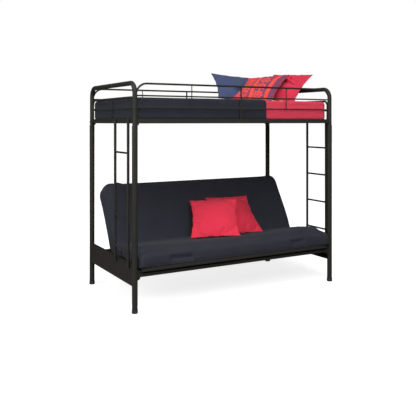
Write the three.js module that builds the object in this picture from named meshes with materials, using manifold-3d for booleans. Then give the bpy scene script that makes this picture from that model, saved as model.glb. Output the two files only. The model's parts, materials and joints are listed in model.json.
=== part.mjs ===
// Futon bunk bed: a twin deck on a tube frame over a futon that slides out and lies flat.
// Millimetres. X runs along the bed, Y from the front to the wall side, Z up from the floor.
// The frame is laid out about the middle of its four posts and then moved so that the origin
// lies on the floor under the middle of the whole bed.
import * as THREE from 'three';
import { mergeVertices } from 'three/addons/utils/BufferGeometryUtils.js';
import Module from 'manifold-3d';

// Clearances shared by every piece
const fitGap = 0.3;
const turnGap = 0.4;
const cutOverrun = 20;

// Posts, feet and end hoops
const postSpacingLong = 1936;
const postSpacingDeep = 990;
const postDiameter = 44.5;
const postTopDrop = 54;
const hoopDiameter = 38;
const hoopPlugLength = 60;
const hoopBendRadius = 80;
const hoopRise = 296;
const footDiameter = 48.5;
const footHeight = 28;
const footFloor = 5;
const footEdgeRadius = 4;

// Upper deck
const deckRailTop = 1494;
const deckRailHeight = 37;
const deckRailWidth = 25;
const deckLedgeDrop = 26;
const deckLedgeWidth = 20;
const deckLedgeThickness = 3;
const deckGussetReach = 14;
const deckGussetDrop = 16;
const deckGussetThickness = 12;
const deckGussetChamfer = 9;
const slatCount = 10;
const slatWidth = 60;
const slatHeight = 12;
const slatWall = 2;

// Long guards, alike in front and at the back
const guardTubeDiameter = 16;
const guardTubeDrop = 23;
const guardBendRadius = 88;
const guardBendAngle = 70;
const guardBendInset = 100;
const guardLeadIn = 12;
const guardRailDiameter = 12.7;
const guardRailShares = [0.655, 0.315];
const guardPostDiameter = 14;
const guardSpindleDiameter = 8;
const guardSpindleShares = [0.256, 0.744];

// End guards inside the hoops
const endGuardDiameter = 19;
const endGuardRise = 166;
const endGuardBendRadius = 44;
const endRailDiameter = 12;
const endRailShare = 0.47;
const endSpindleDiameter = 9;

// Ladders, one outside each end
const ladderRailDiameter = 22;
const ladderRungDiameter = 16;
const ladderWidth = 276;
const ladderSetback = 77;
const ladderPanelOverlap = 31;
const ladderTopDrop = 4;
const ladderRungCount = 4;
const ladderFirstRise = 95;
const ladderLastShare = 1.055;

// Sheet panels and stretchers of the lower frame
const panelBottom = 203;
const panelHeight = 166;
const panelDepth = 26;
const panelWall = 2;
const panelLip = 22;
const endFaceReach = 12;
const stretcherRise = 97;
const stretcherHeight = 25;
const stretcherWidth = 25;
const stretcherBracketReach = 20;
const stretcherBracketRise = 26;
const stretcherBracketDrop = 24;
const stretcherBracketThickness = 12;
const stretcherBracketChamfer = 12;
const stopBlockShare = 0.282;
const stopBlockLength = 40;
const stopBlockWidth = 20;
const stopBlockDrop = 13;
const stopBlockRound = 6;

// Futon mechanism: the pivot rod rides up and forward in a slot at each end
const pivotFromFront = 615.7;
const pivotAbovePanel = 43.9;
const pivotRise = 79.1;
const pivotTravelDeep = 315;
const pivotRodDiameter = 12;
const rollerTreadDiameter = 21;
const rollerFlangeDiameter = 28;
const rollerFlangeThickness = 3;
const rollerWidth = 10;
const trackThickness = 4;
const trackEndMargin = 45;
const trackEdgeMargin = 6;
const trackChamfer = 22;
const ledgeShelfReach = 66;
const ledgeShelfThickness = 4;
const ledgeLength = 50;
const ledgeFromBackPost = 85;
const ledgeClearance = 0.5;

// Futon frames, drawn flat with the pivot rod at their origin
const seatTilt = 7.5;
const backLean = 61.5;
const seatNoseReach = 38;
const backFrameLength = 640;
const futonFrameEndGap = 46;
const backFrameInset = 14;
const futonTubeWidth = 28;
const futonTubeHeight = 28;
const futonTubeBevel = 3;
const futonCornerRadius = 36;
const hingeEndGap = 14;
const lugThickness = 6;
const lugRadius = 12;
const lugPlaceShares = [0.325, 0.982];
const futonSlatCount = 9;
const futonSlatWidth = 26;
const futonSlatThickness = 8;
const futonSpineWidth = 26;
const futonSpineThickness = 12;
const bumperDiameter = 22;
const bumperFromEdge = 14;

// Futon mattress, in its seat and back halves
const futonMattressReach = 13;
const seatCushionHeight = 158;
const seatCushionOverhang = 5;
const seatCushionRound = 46;
const backCushionHeight = 165;
const backCushionOverhang = 52;
const backCushionRound = 46;
const backCushionCornerRadius = 95;
const futonCrown = 3;
const futonDrawIn = 8;

// Upper mattress
const mattressEndGap = 13;
const mattressSideGap = 25;
const mattressHeight = 176;
const mattressRound = 38;
const mattressCrown = 8;
const mattressDrawIn = 5;

// Loose pillows. Each middle is given in shares: of half the post spacings in X and Y, and of the
// pillow size in Z above what it lies on. The turn, lean and roll are in degrees.
const pillowSize = 430;
const pillowThickness = 120;
const pillowDrawInShare = 0.06;
const pillowPuffShare = 0.62;
const pillowGap = 0.6;
const upperPillows = [
  {
    name: 'pillow_patterned', finish: 'patternCloth', sizeShare: 0.953, thicknessShare: 0.933,
    placeShares: [0.467, -0.248, 0.247], turn: [58, 58, -3],
  },
  {
    name: 'pillow_blue', finish: 'blueCloth', sizeShare: 1, thicknessShare: 1,
    placeShares: [0.452, 0.59, 0.329], turn: [7, 52, -9],
  },
  {
    name: 'pillow_crimson', finish: 'crimsonCloth', sizeShare: 1, thicknessShare: 1,
    placeShares: [0.723, -0.305, 0.303], turn: [63, 52, -4],
  },
];
const lowerPillows = [
  {
    name: 'pillow_red_front', finish: 'crimsonCloth', sizeShare: 1, thicknessShare: 0.967,
    placeShares: [-0.060, -0.295, 0.491], turn: [32, 49, 4],
  },
  {
    name: 'pillow_red_rear', finish: 'crimsonCloth', sizeShare: 1.035, thicknessShare: 0.967,
    placeShares: [0.249, 0.008, 0.461], turn: [3, 48, -1],
  },
];

// How finely round forms are faceted
const postSides = 20;
const tubeSides = 12;
const rodSides = 10;
const bendSteps = 6;
const latheSides = 20;
const footEdgeSteps = 3;
const domeSteps = 4;
const stopBlockSteps = 4;
const slotSteps = 10;
const futonCornerSteps = 5;
const lugSteps = 6;
const softEdgeSteps = 2;
const futonCells = [12, 8, 5];
const mattressCells = [14, 10, 5];
const pillowCells = 12;

// Places worked out from the sizes above
const degree = Math.PI / 180;
const postX = postSpacingLong / 2;
const postY = postSpacingDeep / 2;
const postTop = deckRailTop - postTopDrop;
const frameHeight = deckRailTop + hoopRise;
const deckRailBottom = deckRailTop - deckRailHeight;
const deckLedgeTop = deckRailTop - deckLedgeDrop;
const deckInnerX = postX - deckRailWidth / 2;
const deckInnerY = postY - deckRailWidth / 2;
const mattressLength = postSpacingLong - 2 * mattressEndGap;
const mattressWidth = postSpacingDeep - 2 * mattressSideGap;
const guardTubeHeight = frameHeight - guardTubeDrop;
const guardRailHeights = guardRailShares.map(
  (share) => deckRailTop + share * (guardTubeHeight - deckRailTop));
const endGuardHeight = deckRailTop + endGuardRise;
const endRailHeight = deckRailTop + endRailShare * endGuardRise;
const panelTop = panelBottom + panelHeight;
const panelInnerX = postX + endFaceReach - panelDepth;
const ladderLowestRung = panelTop + ladderFirstRise;
const ladderRungPitch = (deckRailTop - ladderLowestRung) / (ladderRungCount - 1 + ladderLastShare);
const stretcherTop = panelBottom + stretcherRise;
const stretcherBottom = stretcherTop - stretcherHeight;
const pivotY = pivotFromFront - postY;
const pivotHeight = panelBottom + pivotAbovePanel;
const flatPivotHeight = pivotHeight + pivotRise;
const lugBore = pivotRodDiameter / 2 + turnGap;
const futonFrameWidth = postSpacingLong - 2 * futonFrameEndGap;
const futonMattressWidth = futonFrameWidth + 2 * futonMattressReach;
const seatFrameLength = (pivotFromFront + seatNoseReach) / Math.cos(seatTilt * degree);

const finishes = {
  powderCoat: { color: 0x3b3a36, roughness: 0.42, metalness: 0.55 },
  panelCoat: { color: 0x37332f, roughness: 0.5, metalness: 0.45 },
  zinc: { color: 0x8d8f90, roughness: 0.35, metalness: 0.9 },
  plastic: { color: 0x151515, roughness: 0.6, metalness: 0 },
  navyCloth: { color: 0x2c2d36, roughness: 0.95, metalness: 0 },
  crimsonCloth: { color: 0xc8324b, roughness: 0.9, metalness: 0 },
  blueCloth: { color: 0x46536f, roughness: 0.9, metalness: 0 },
  patternCloth: { color: 0xa8415a, roughness: 0.9, metalness: 0 },
};

const wasm = await Module();
wasm.setup();

const bed = new THREE.Group();

function addPiece(parent, name, geometry, finish) {
  const piece = new THREE.Mesh(geometry, new THREE.MeshStandardMaterial(finishes[finish]));
  piece.name = name;
  parent.add(piece);
  return piece;
}

// Solids are joined and cut as closed meshes with shared vertices
function toSolid(geometry) {
  const bare = geometry.clone();
  bare.deleteAttribute('normal');
  bare.deleteAttribute('uv');
  const welded = mergeVertices(bare);
  return new wasm.Manifold(new wasm.Mesh({
    numProp: 3,
    vertProperties: new Float32Array(welded.attributes.position.array),
    triVerts: new Uint32Array(welded.index.array),
  }));
}

function toGeometry(solid) {
  const mesh = solid.getMesh();
  const geometry = new THREE.BufferGeometry();
  geometry.setAttribute('position', new THREE.BufferAttribute(mesh.vertProperties, 3));
  geometry.setIndex(new THREE.BufferAttribute(mesh.triVerts, 1));
  geometry.computeVertexNormals();
  return geometry;
}

function fuse(geometries) {
  let whole = toSolid(geometries[0]);
  for (const geometry of geometries.slice(1)) {
    whole = whole.add(toSolid(geometry));
  }
  return toGeometry(whole);
}

function cut(geometry, tools) {
  let rest = toSolid(geometry);
  for (const tool of tools) {
    rest = rest.subtract(toSolid(tool));
  }
  return toGeometry(rest);
}

// A block from its lowest to its highest corner
function block(low, high) {
  const size = new THREE.Vector3().subVectors(high, low);
  const middle = new THREE.Vector3().addVectors(high, low).multiplyScalar(0.5);
  return new THREE.BoxGeometry(size.x, size.y, size.z).translate(middle.x, middle.y, middle.z);
}

function at(x, y, z) {
  return new THREE.Vector3(x, y, z);
}

// A route of straight runs and round bends, sampled only at its bends
class BentRoute extends THREE.Curve {
  constructor(corners, radius) {
    super();
    this.stations = [];
    const first = corners[1].clone().sub(corners[0]).normalize();
    this.stations.push({ point: corners[0], tangent: first });
    for (let i = 1; i < corners.length - 1; i += 1) {
      this.addBend(corners[i - 1], corners[i], corners[i + 1], radius);
    }
    const end = corners[corners.length - 1];
    const last = end.clone().sub(corners[corners.length - 2]).normalize();
    this.stations.push({ point: end, tangent: last });
  }

  addBend(before, corner, after, radius) {
    const into = corner.clone().sub(before).normalize();
    const out = after.clone().sub(corner).normalize();
    const turn = into.angleTo(out);
    const inward = out.clone().addScaledVector(into, -Math.cos(turn)).normalize();
    const start = corner.clone().addScaledVector(into, -radius * Math.tan(turn / 2));
    for (let step = 0; step <= bendSteps; step += 1) {
      const angle = turn * step / bendSteps;
      const point = start.clone()
        .addScaledVector(into, radius * Math.sin(angle))
        .addScaledVector(inward, radius * (1 - Math.cos(angle)));
      const tangent = into.clone().multiplyScalar(Math.cos(angle))
        .addScaledVector(inward, Math.sin(angle));
      this.stations.push({ point, tangent });
    }
  }

  get steps() {
    return this.stations.length - 1;
  }

  getPoint(t, target = new THREE.Vector3()) {
    const place = t * this.steps;
    const index = Math.min(Math.floor(place), this.steps - 1);
    const { point: from } = this.stations[index];
    const { point: to } = this.stations[index + 1];
    return target.lerpVectors(from, to, place - index);
  }

  getTangent(t, target = new THREE.Vector3()) {
    return target.copy(this.stations[Math.round(t * this.steps)].tangent);
  }

  getUtoTmapping(u) {
    return u;
  }
}

function ring(radius, sides) {
  const points = [];
  for (let i = 0; i < sides; i += 1) {
    const angle = 2 * Math.PI * (i + 0.5) / sides;
    points.push(new THREE.Vector2(radius * Math.cos(angle), radius * Math.sin(angle)));
  }
  return points;
}

// A round bar or tube along a route of corners, bent at each inner corner
function bentTube(corners, diameter, sides, radius) {
  const route = new BentRoute(corners, radius);
  return new THREE.ExtrudeGeometry(new THREE.Shape(ring(diameter / 2, sides)), {
    steps: route.steps,
    extrudePath: route,
  });
}

function straightTube(from, to, diameter, sides) {
  return bentTube([from, to], diameter, sides, 0);
}

function postCutter(x, y, diameter, low, high) {
  return straightTube(at(x, y, low), at(x, y, high), diameter + 2 * fitGap, postSides);
}

// An outline in the YZ plane, run along X; an outline in the XZ plane, run along Y
function runAlongX(outline, from, to) {
  return new THREE.ExtrudeGeometry(outline, { depth: to - from, bevelEnabled: false })
    .rotateX(Math.PI / 2).rotateZ(Math.PI / 2).translate(from, 0, 0);
}

function runAlongY(outline, from, to) {
  return new THREE.ExtrudeGeometry(outline, { depth: to - from, bevelEnabled: false })
    .rotateX(Math.PI / 2).translate(0, to, 0);
}

function outlineOf(points) {
  return new THREE.Shape(points.map(([x, y]) => new THREE.Vector2(x, y)));
}

// Plastic caps under the posts
function footCap() {
  const outer = footDiameter / 2;
  const bore = postDiameter / 2 + fitGap;
  const points = [new THREE.Vector2(0, 0), new THREE.Vector2(outer - footEdgeRadius, 0)];
  for (let step = 1; step <= footEdgeSteps; step += 1) {
    const angle = step / footEdgeSteps * Math.PI / 2;
    points.push(new THREE.Vector2(
      outer - footEdgeRadius * (1 - Math.sin(angle)),
      footEdgeRadius * (1 - Math.cos(angle)),
    ));
  }
  points.push(new THREE.Vector2(outer, footHeight), new THREE.Vector2(bore, footHeight));
  points.push(new THREE.Vector2(bore, footFloor), new THREE.Vector2(0, footFloor));
  return new THREE.LatheGeometry(points, latheSides).rotateX(Math.PI / 2);
}

// Lower posts: tubes whose bore takes the leg of the hoop above
function lowerPost() {
  const wall = new THREE.Shape(ring(postDiameter / 2, postSides));
  wall.holes.push(new THREE.Path(ring(hoopDiameter / 2 + turnGap, postSides).reverse()));
  const depth = postTop - footFloor - fitGap;
  return new THREE.ExtrudeGeometry(wall, { depth, bevelEnabled: false });
}

const ends = [['left', -1], ['right', 1]];
const faces = [['front', -1], ['back', 1]];

for (const [endName, endSide] of ends) {
  for (const [faceName, faceSide] of faces) {
    const cap = addPiece(bed, `foot_cap_${faceName}_${endName}`, footCap(), 'plastic');
    cap.position.set(endSide * postX, faceSide * postY, 0);
    const post = addPiece(bed, `lower_post_${faceName}_${endName}`, lowerPost(), 'powderCoat');
    post.position.set(endSide * postX, faceSide * postY, footFloor + fitGap);
  }
}

// End hoops: one bent tube each, plugged into two lower posts
function endHoop(diameter) {
  const low = postTop - hoopPlugLength;
  const high = frameHeight - hoopDiameter / 2;
  const corners = [at(0, -postY, low), at(0, -postY, high), at(0, postY, high), at(0, postY, low)];
  return bentTube(corners, diameter, postSides, hoopBendRadius);
}

// A gusset that hangs under the end of a deck rail, drawn from the post's centre line
function gussetOutline() {
  const reach = hoopDiameter / 2 + deckGussetReach;
  const low = deckRailBottom - deckGussetDrop;
  const high = deckRailBottom + deckRailHeight / 2;
  return [[0, low], [reach - deckGussetChamfer, low], [reach, low + deckGussetChamfer],
    [reach, high], [0, high]];
}

function deckEndRail() {
  const half = deckRailWidth / 2;
  const pieces = [block(at(-half, -postY, deckRailBottom), at(half, postY, deckRailTop))];
  for (const [, side] of faces) {
    const outline = outlineOf(gussetOutline().map(([y, z]) => [side * (y - postY), z]));
    pieces.push(runAlongX(outline, -deckGussetThickness / 2, deckGussetThickness / 2));
  }
  const low = deckRailBottom - cutOverrun;
  const high = deckRailTop + cutOverrun;
  const tools = faces.map(([, side]) => postCutter(0, side * postY, hoopDiameter, low, high));
  return cut(fuse(pieces), tools);
}

for (const [endName, endSide] of ends) {
  const hoop = addPiece(bed, `end_hoop_${endName}`, endHoop(hoopDiameter), 'powderCoat');
  hoop.position.x = endSide * postX;
  const rail = addPiece(bed, `deck_end_rail_${endName}`, deckEndRail(), 'powderCoat');
  rail.position.x = endSide * postX;
}

// Deck side rails: a box section with an inner ledge for the slats
function deckSideRail(side) {
  const outer = -deckRailWidth / 2;
  const inner = deckRailWidth / 2;
  const section = outlineOf([
    [outer, deckRailBottom], [inner, deckRailBottom],
    [inner, deckLedgeTop - deckLedgeThickness],
    [inner + deckLedgeWidth, deckLedgeTop - deckLedgeThickness],
    [inner + deckLedgeWidth, deckLedgeTop], [inner, deckLedgeTop],
    [inner, deckRailTop], [outer, deckRailTop],
  ].map(([y, z]) => [-side * y, z]));
  const reach = deckInnerX - fitGap;
  const pieces = [runAlongX(section, -reach, reach)];
  for (const [, end] of ends) {
    const outline = outlineOf(gussetOutline().map(([x, z]) => [end * (postX - x), z]));
    pieces.push(runAlongY(outline, -deckGussetThickness / 2, deckGussetThickness / 2));
  }
  const low = deckRailBottom - cutOverrun;
  const high = deckRailTop + cutOverrun;
  const tools = ends.map(([, end]) => postCutter(end * postX, 0, hoopDiameter, low, high));
  return cut(fuse(pieces), tools);
}

for (const [faceName, faceSide] of faces) {
  const rail = addPiece(bed, `deck_side_rail_${faceName}`, deckSideRail(faceSide), 'powderCoat');
  rail.position.y = faceSide * postY;
}

// Deck slats of channel section, laid on the side rails' ledges
function deckSlat() {
  const half = slatWidth / 2;
  const low = deckLedgeTop + fitGap;
  const high = low + slatHeight;
  const section = outlineOf([
    [-half, low], [-half + slatWall, low], [-half + slatWall, high - slatWall],
    [half - slatWall, high - slatWall], [half - slatWall, low], [half, low],
    [half, high], [-half, high],
  ]);
  return runAlongY(section, fitGap - deckInnerY, deckInnerY - fitGap);
}

const slatReach = deckInnerX - fitGap;
const slatPitch = 2 * slatReach / slatCount;
for (let i = 0; i < slatCount; i += 1) {
  const slat = addPiece(bed, `deck_slat_${i + 1}`, deckSlat(), 'powderCoat');
  slat.position.x = slatPitch * (i + 0.5) - slatReach;
}

// Long guards: a bent top tube, two rails, a middle post and thin spindles in one welded unit
function longGuard(side) {
  const bend = guardBendAngle * degree;
  const shoulder = postX - guardBendInset + guardBendRadius * Math.tan(bend / 2);
  const lead = guardBendRadius * Math.tan(bend / 2) + guardLeadIn;
  const low = guardTubeHeight - lead * Math.sin(bend);
  const reach = shoulder + lead * Math.cos(bend);
  const corners = [at(-reach, 0, low), at(-shoulder, 0, guardTubeHeight),
    at(shoulder, 0, guardTubeHeight), at(reach, 0, low)];
  const pieces = [bentTube(corners, guardTubeDiameter, tubeSides, guardBendRadius)];
  for (const height of guardRailHeights) {
    pieces.push(straightTube(at(-postX, 0, height), at(postX, 0, height), guardRailDiameter, rodSides));
  }
  for (const share of guardSpindleShares) {
    const x = postSpacingLong * share - postX;
    pieces.push(straightTube(
      at(x, 0, Math.min(...guardRailHeights)), at(x, 0, guardTubeHeight),
      guardSpindleDiameter, rodSides));
  }
  pieces.push(straightTube(
    at(0, 0, deckRailTop + fitGap), at(0, 0, guardTubeHeight), guardPostDiameter, rodSides));
  const tools = ends.map(([, end]) => endHoop(hoopDiameter + 2 * fitGap)
    .translate(end * postX, -side * postY, 0));
  return cut(fuse(pieces), tools);
}

for (const [faceName, faceSide] of faces) {
  const guard = addPiece(bed, `guard_rail_${faceName}`, longGuard(faceSide), 'powderCoat');
  guard.position.y = faceSide * postY;
}

// End guards: an inner hoop that stands on the deck end rail, with a rail and a spindle
function endGuard() {
  const legY = postY - hoopDiameter / 2 - endGuardDiameter / 2 - fitGap;
  const low = deckRailTop + fitGap;
  const corners = [at(0, -legY, low), at(0, -legY, endGuardHeight),
    at(0, legY, endGuardHeight), at(0, legY, low)];
  return fuse([
    bentTube(corners, endGuardDiameter, tubeSides, endGuardBendRadius),
    straightTube(at(0, -legY, endRailHeight), at(0, legY, endRailHeight), endRailDiameter, rodSides),
    straightTube(at(0, 0, low), at(0, 0, endGuardHeight), endSpindleDiameter, rodSides),
  ]);
}

// Ladders: two rails and round rungs, standing off the outer face of each end
function ladder() {
  const top = deckRailTop - ladderTopDrop;
  const frontY = ladderSetback - postY;
  const rearY = frontY + ladderWidth;
  const pieces = [frontY, rearY].map((y) => straightTube(
    at(0, y, panelTop - ladderPanelOverlap), at(0, y, top), ladderRailDiameter, tubeSides));
  for (let i = 0; i < ladderRungCount; i += 1) {
    const height = ladderLowestRung + i * ladderRungPitch;
    pieces.push(straightTube(at(0, frontY, height), at(0, rearY, height), ladderRungDiameter, rodSides));
  }
  return fuse(pieces);
}

// End panels: folded sheet with its open side inwards, lipped top and bottom
function endPanel(side) {
  const outer = endFaceReach;
  const inner = endFaceReach - panelDepth;
  const section = outlineOf([
    [outer, panelBottom], [outer, panelTop], [inner, panelTop], [inner, panelTop - panelLip],
    [inner + panelWall, panelTop - panelLip], [inner + panelWall, panelTop - panelWall],
    [outer - panelWall, panelTop - panelWall], [outer - panelWall, panelBottom + panelWall],
    [inner + panelWall, panelBottom + panelWall], [inner + panelWall, panelBottom + panelLip],
    [inner, panelBottom + panelLip], [inner, panelBottom],
  ].map(([x, z]) => [side * x, z]));
  const low = panelBottom - cutOverrun;
  const high = panelTop + cutOverrun;
  const tools = faces.map(([, face]) => postCutter(0, face * postY, postDiameter, low, high));
  return cut(runAlongY(section, -postY, postY), tools);
}

for (const [endName, endSide] of ends) {
  const guard = addPiece(bed, `end_guard_${endName}`, endGuard(), 'powderCoat');
  guard.position.x = endSide * postX;
  const steps = addPiece(bed, `ladder_${endName}`, ladder(), 'powderCoat');
  steps.position.x = endSide * (postX + endFaceReach + ladderRailDiameter / 2 + fitGap);
  const panel = addPiece(bed, `end_panel_${endName}`, endPanel(endSide), 'panelCoat');
  panel.position.x = endSide * postX;
}

// Stretchers between the lower posts, held at each end by a bracket plate with a short socket
const stretcherReach = postX - postDiameter / 2 - stretcherBracketReach;

function stretcherBracket(end) {
  const half = stretcherWidth / 2;
  const low = stretcherBottom - stretcherBracketDrop;
  const high = stretcherTop + stretcherBracketRise;
  const inner = stretcherReach;
  const plate = outlineOf([
    [postX, low], [inner + stretcherBracketChamfer, low], [inner, low + stretcherBracketChamfer],
    [inner, high], [postX, high],
  ].map(([x, z]) => [end * x, z]));
  const near = Math.min(end * inner, end * postX);
  const far = Math.max(end * inner, end * postX);
  const pieces = [
    runAlongY(plate, -stretcherBracketThickness / 2, stretcherBracketThickness / 2),
    block(at(near, -half, stretcherBottom), at(far, half, stretcherTop)),
  ];
  return cut(fuse(pieces), [postCutter(
    end * postX, 0, postDiameter, low - cutOverrun, high + cutOverrun)]);
}

for (const [faceName, faceSide] of faces) {
  const half = stretcherWidth / 2;
  const reach = stretcherReach - fitGap;
  const beam = addPiece(bed, `stretcher_${faceName}`, block(
    at(-reach, -half, stretcherBottom), at(reach, half, stretcherTop)), 'powderCoat');
  beam.position.y = faceSide * postY;
  for (const [endName, endSide] of ends) {
    const name = `stretcher_bracket_${faceName}_${endName}`;
    addPiece(bed, name, stretcherBracket(endSide), 'powderCoat').position.y = faceSide * postY;
  }
}

// Small stop block under the front stretcher
function stopBlock() {
  const half = stopBlockLength / 2;
  const high = stretcherBottom - fitGap;
  const low = high - stopBlockDrop;
  const outline = new THREE.Shape();
  outline.moveTo(-half, high);
  outline.lineTo(-half, low + stopBlockRound);
  outline.absarc(stopBlockRound - half, low + stopBlockRound, stopBlockRound, Math.PI, 1.5 * Math.PI);
  outline.absarc(half - stopBlockRound, low + stopBlockRound, stopBlockRound, 1.5 * Math.PI, 2 * Math.PI);
  outline.lineTo(half, high);
  return new THREE.ExtrudeGeometry(outline, {
    depth: stopBlockWidth, bevelEnabled: false, curveSegments: stopBlockSteps,
  }).rotateX(Math.PI / 2).translate(0, stopBlockWidth / 2, 0);
}
const stopPiece = addPiece(bed, 'stretcher_stop_block', stopBlock(), 'plastic');
stopPiece.position.set(stopBlockShare * postX, -postY, 0);

// Track plates: the rod's slot runs down to the rear, between the panel's lips
function trackPlate() {
  const slotRadius = rollerTreadDiameter / 2 + turnGap;
  const frontY = pivotY - pivotTravelDeep;
  const low = panelBottom + trackEdgeMargin;
  const high = panelTop - trackEdgeMargin;
  const near = frontY - trackEndMargin;
  const far = pivotY + trackEndMargin;
  const plate = outlineOf([
    [near, low + trackChamfer], [near + trackChamfer, low], [far - trackChamfer, low],
    [far, low + trackChamfer], [far, high - trackChamfer], [far - trackChamfer, high],
    [near + trackChamfer, high], [near, high - trackChamfer],
  ]);
  const slope = Math.atan2(-pivotRise, pivotTravelDeep);
  const slot = new THREE.Path();
  slot.absarc(frontY, flatPivotHeight, slotRadius, slope + Math.PI / 2, slope + 1.5 * Math.PI);
  slot.absarc(pivotY, pivotHeight, slotRadius, slope - Math.PI / 2, slope + Math.PI / 2);
  plate.holes.push(slot);
  return new THREE.ExtrudeGeometry(plate, {
    depth: trackThickness, bevelEnabled: false, curveSegments: slotSteps,
  }).rotateX(Math.PI / 2).rotateZ(Math.PI / 2);
}

// Ledges that carry the rear of the futon when it lies flat
function bedLedge(side) {
  const face = panelInnerX - fitGap;
  const back = face - trackThickness;
  const tip = face - ledgeShelfReach;
  const top = flatPivotHeight - futonTubeHeight / 2 - ledgeClearance;
  const low = panelBottom + trackEdgeMargin;
  const high = panelTop - trackEdgeMargin;
  const section = outlineOf([
    [face, low], [face, high], [back, high], [back, top], [tip, top],
    [tip, top - ledgeShelfThickness], [back, top - ledgeShelfThickness], [back, low],
  ].map(([x, z]) => [side * x, z]));
  const rear = postY - ledgeFromBackPost;
  return runAlongY(section, rear - ledgeLength, rear);
}

for (const [endName, endSide] of ends) {
  const track = addPiece(bed, `track_plate_${endName}`, trackPlate(), 'zinc');
  const face = panelInnerX - fitGap;
  track.position.x = endSide > 0 ? face - trackThickness : -face;
  addPiece(bed, `bed_ledge_${endName}`, bedLedge(endSide), 'powderCoat');
}

// Pivot rod with a flanged roller at each end
const rodReach = panelInnerX - fitGap;
const rod = addPiece(bed, 'pivot_rod', straightTube(
  at(-rodReach, 0, 0), at(rodReach, 0, 0), pivotRodDiameter, tubeSides), 'zinc');
rod.position.set(0, pivotY, pivotHeight);

function roller() {
  const bore = pivotRodDiameter / 2 + fitGap;
  const tread = rollerTreadDiameter / 2;
  const flange = rollerFlangeDiameter / 2;
  const section = [
    [bore, 0], [flange, 0], [flange, rollerFlangeThickness], [tread, rollerFlangeThickness],
    [tread, rollerWidth], [bore, rollerWidth], [bore, 0],
  ].map(([radius, along]) => new THREE.Vector2(radius, along));
  return new THREE.LatheGeometry(section, latheSides).rotateZ(-Math.PI / 2);
}

for (const [endName, endSide] of ends) {
  const wheel = addPiece(bed, `track_roller_${endName}`, roller(), 'plastic');
  wheel.position.set(endSide * (rodReach - rollerWidth), pivotY, pivotHeight);
  wheel.rotation.z = endSide > 0 ? 0 : Math.PI;
}

// Futon frames: a bevelled ring of box tube, drawn flat from the hinge towards +Y. The back's
// frame is a little narrower, so that its lugs stand inside the seat's.
function futonFrame(length, inset, lugShift) {
  const half = futonFrameWidth / 2 - inset - futonTubeBevel;
  const near = hingeEndGap + futonTubeBevel;
  const far = length - futonTubeBevel;
  const wall = futonTubeWidth - 2 * futonTubeBevel;
  const round = futonCornerRadius - futonTubeBevel;
  const outline = new THREE.Shape();
  outline.moveTo(-half, near);
  outline.lineTo(half, near);
  outline.absarc(half - round, far - round, round, 0, Math.PI / 2);
  outline.absarc(round - half, far - round, round, Math.PI / 2, Math.PI);
  const hole = new THREE.Path([
    [wall - half, near + wall], [wall - half, far - wall],
    [half - wall, far - wall], [half - wall, near + wall],
  ].map(([x, y]) => new THREE.Vector2(x, y)));
  outline.holes.push(hole);
  const depth = futonTubeHeight - 2 * futonTubeBevel;
  const frame = new THREE.ExtrudeGeometry(outline, {
    depth, curveSegments: futonCornerSteps, bevelEnabled: true, bevelSize: futonTubeBevel,
    bevelThickness: futonTubeBevel, bevelSegments: 2,
  }).translate(0, 0, -depth / 2);
  const lugs = lugPlaceShares.flatMap((share) => [share, -share]).map((share) => hingeLug(
    share * futonFrameWidth / 2 + Math.sign(share) * lugShift));
  const bores = [straightTube(
    at(-futonFrameWidth, 0, 0), at(futonFrameWidth, 0, 0), 2 * lugBore, tubeSides)];
  return cut(fuse([frame, ...lugs]), bores);
}

function hingeLug(x) {
  const outline = new THREE.Shape();
  outline.moveTo(hingeEndGap + futonTubeWidth / 2, -lugRadius);
  outline.lineTo(hingeEndGap + futonTubeWidth / 2, lugRadius);
  outline.absarc(0, 0, lugRadius, Math.PI / 2, 1.5 * Math.PI);
  return new THREE.ExtrudeGeometry(outline, {
    depth: lugThickness, bevelEnabled: false, curveSegments: lugSteps,
  }).rotateX(Math.PI / 2).rotateZ(Math.PI / 2).translate(x - lugThickness / 2, 0, 0);
}

// Slats between the frame's cross tubes, joined by a spine under their middle
function futonSlats(length, inset) {
  const near = hingeEndGap + futonTubeWidth + fitGap;
  const far = length - futonTubeWidth - fitGap;
  const top = futonTubeHeight / 2;
  const clear = futonFrameWidth - 2 * inset - 2 * futonTubeWidth;
  const pitch = clear / futonSlatCount;
  const pieces = [];
  for (let i = 0; i < futonSlatCount; i += 1) {
    const x = pitch * (i + 0.5) - clear / 2;
    pieces.push(block(
      at(x - futonSlatWidth / 2, near, top - futonSlatThickness),
      at(x + futonSlatWidth / 2, far, top),
    ));
  }
  const middle = (near + far) / 2;
  const spineTop = top - futonSlatThickness / 2;
  const spineReach = clear / 2 - fitGap;
  pieces.push(block(
    at(-spineReach, middle - futonSpineWidth / 2, spineTop - futonSpineThickness),
    at(spineReach, middle + futonSpineWidth / 2, spineTop),
  ));
  return fuse(pieces);
}

// Each share of a half span, crowded towards both ends so that rounded edges get the facets
function crowded(share, half, round, steps) {
  const index = Math.round((share + 1) / 2 * steps);
  const fromEnd = Math.min(index, steps - index);
  const side = index * 2 < steps ? -1 : 1;
  if (fromEnd < softEdgeSteps) {
    return side * (half - round * fromEnd / softEdgeSteps);
  }
  const inner = steps - 2 * softEdgeSteps;
  return (half - round) * (2 * (index - softEdgeSteps) / inner - 1);
}

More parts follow.
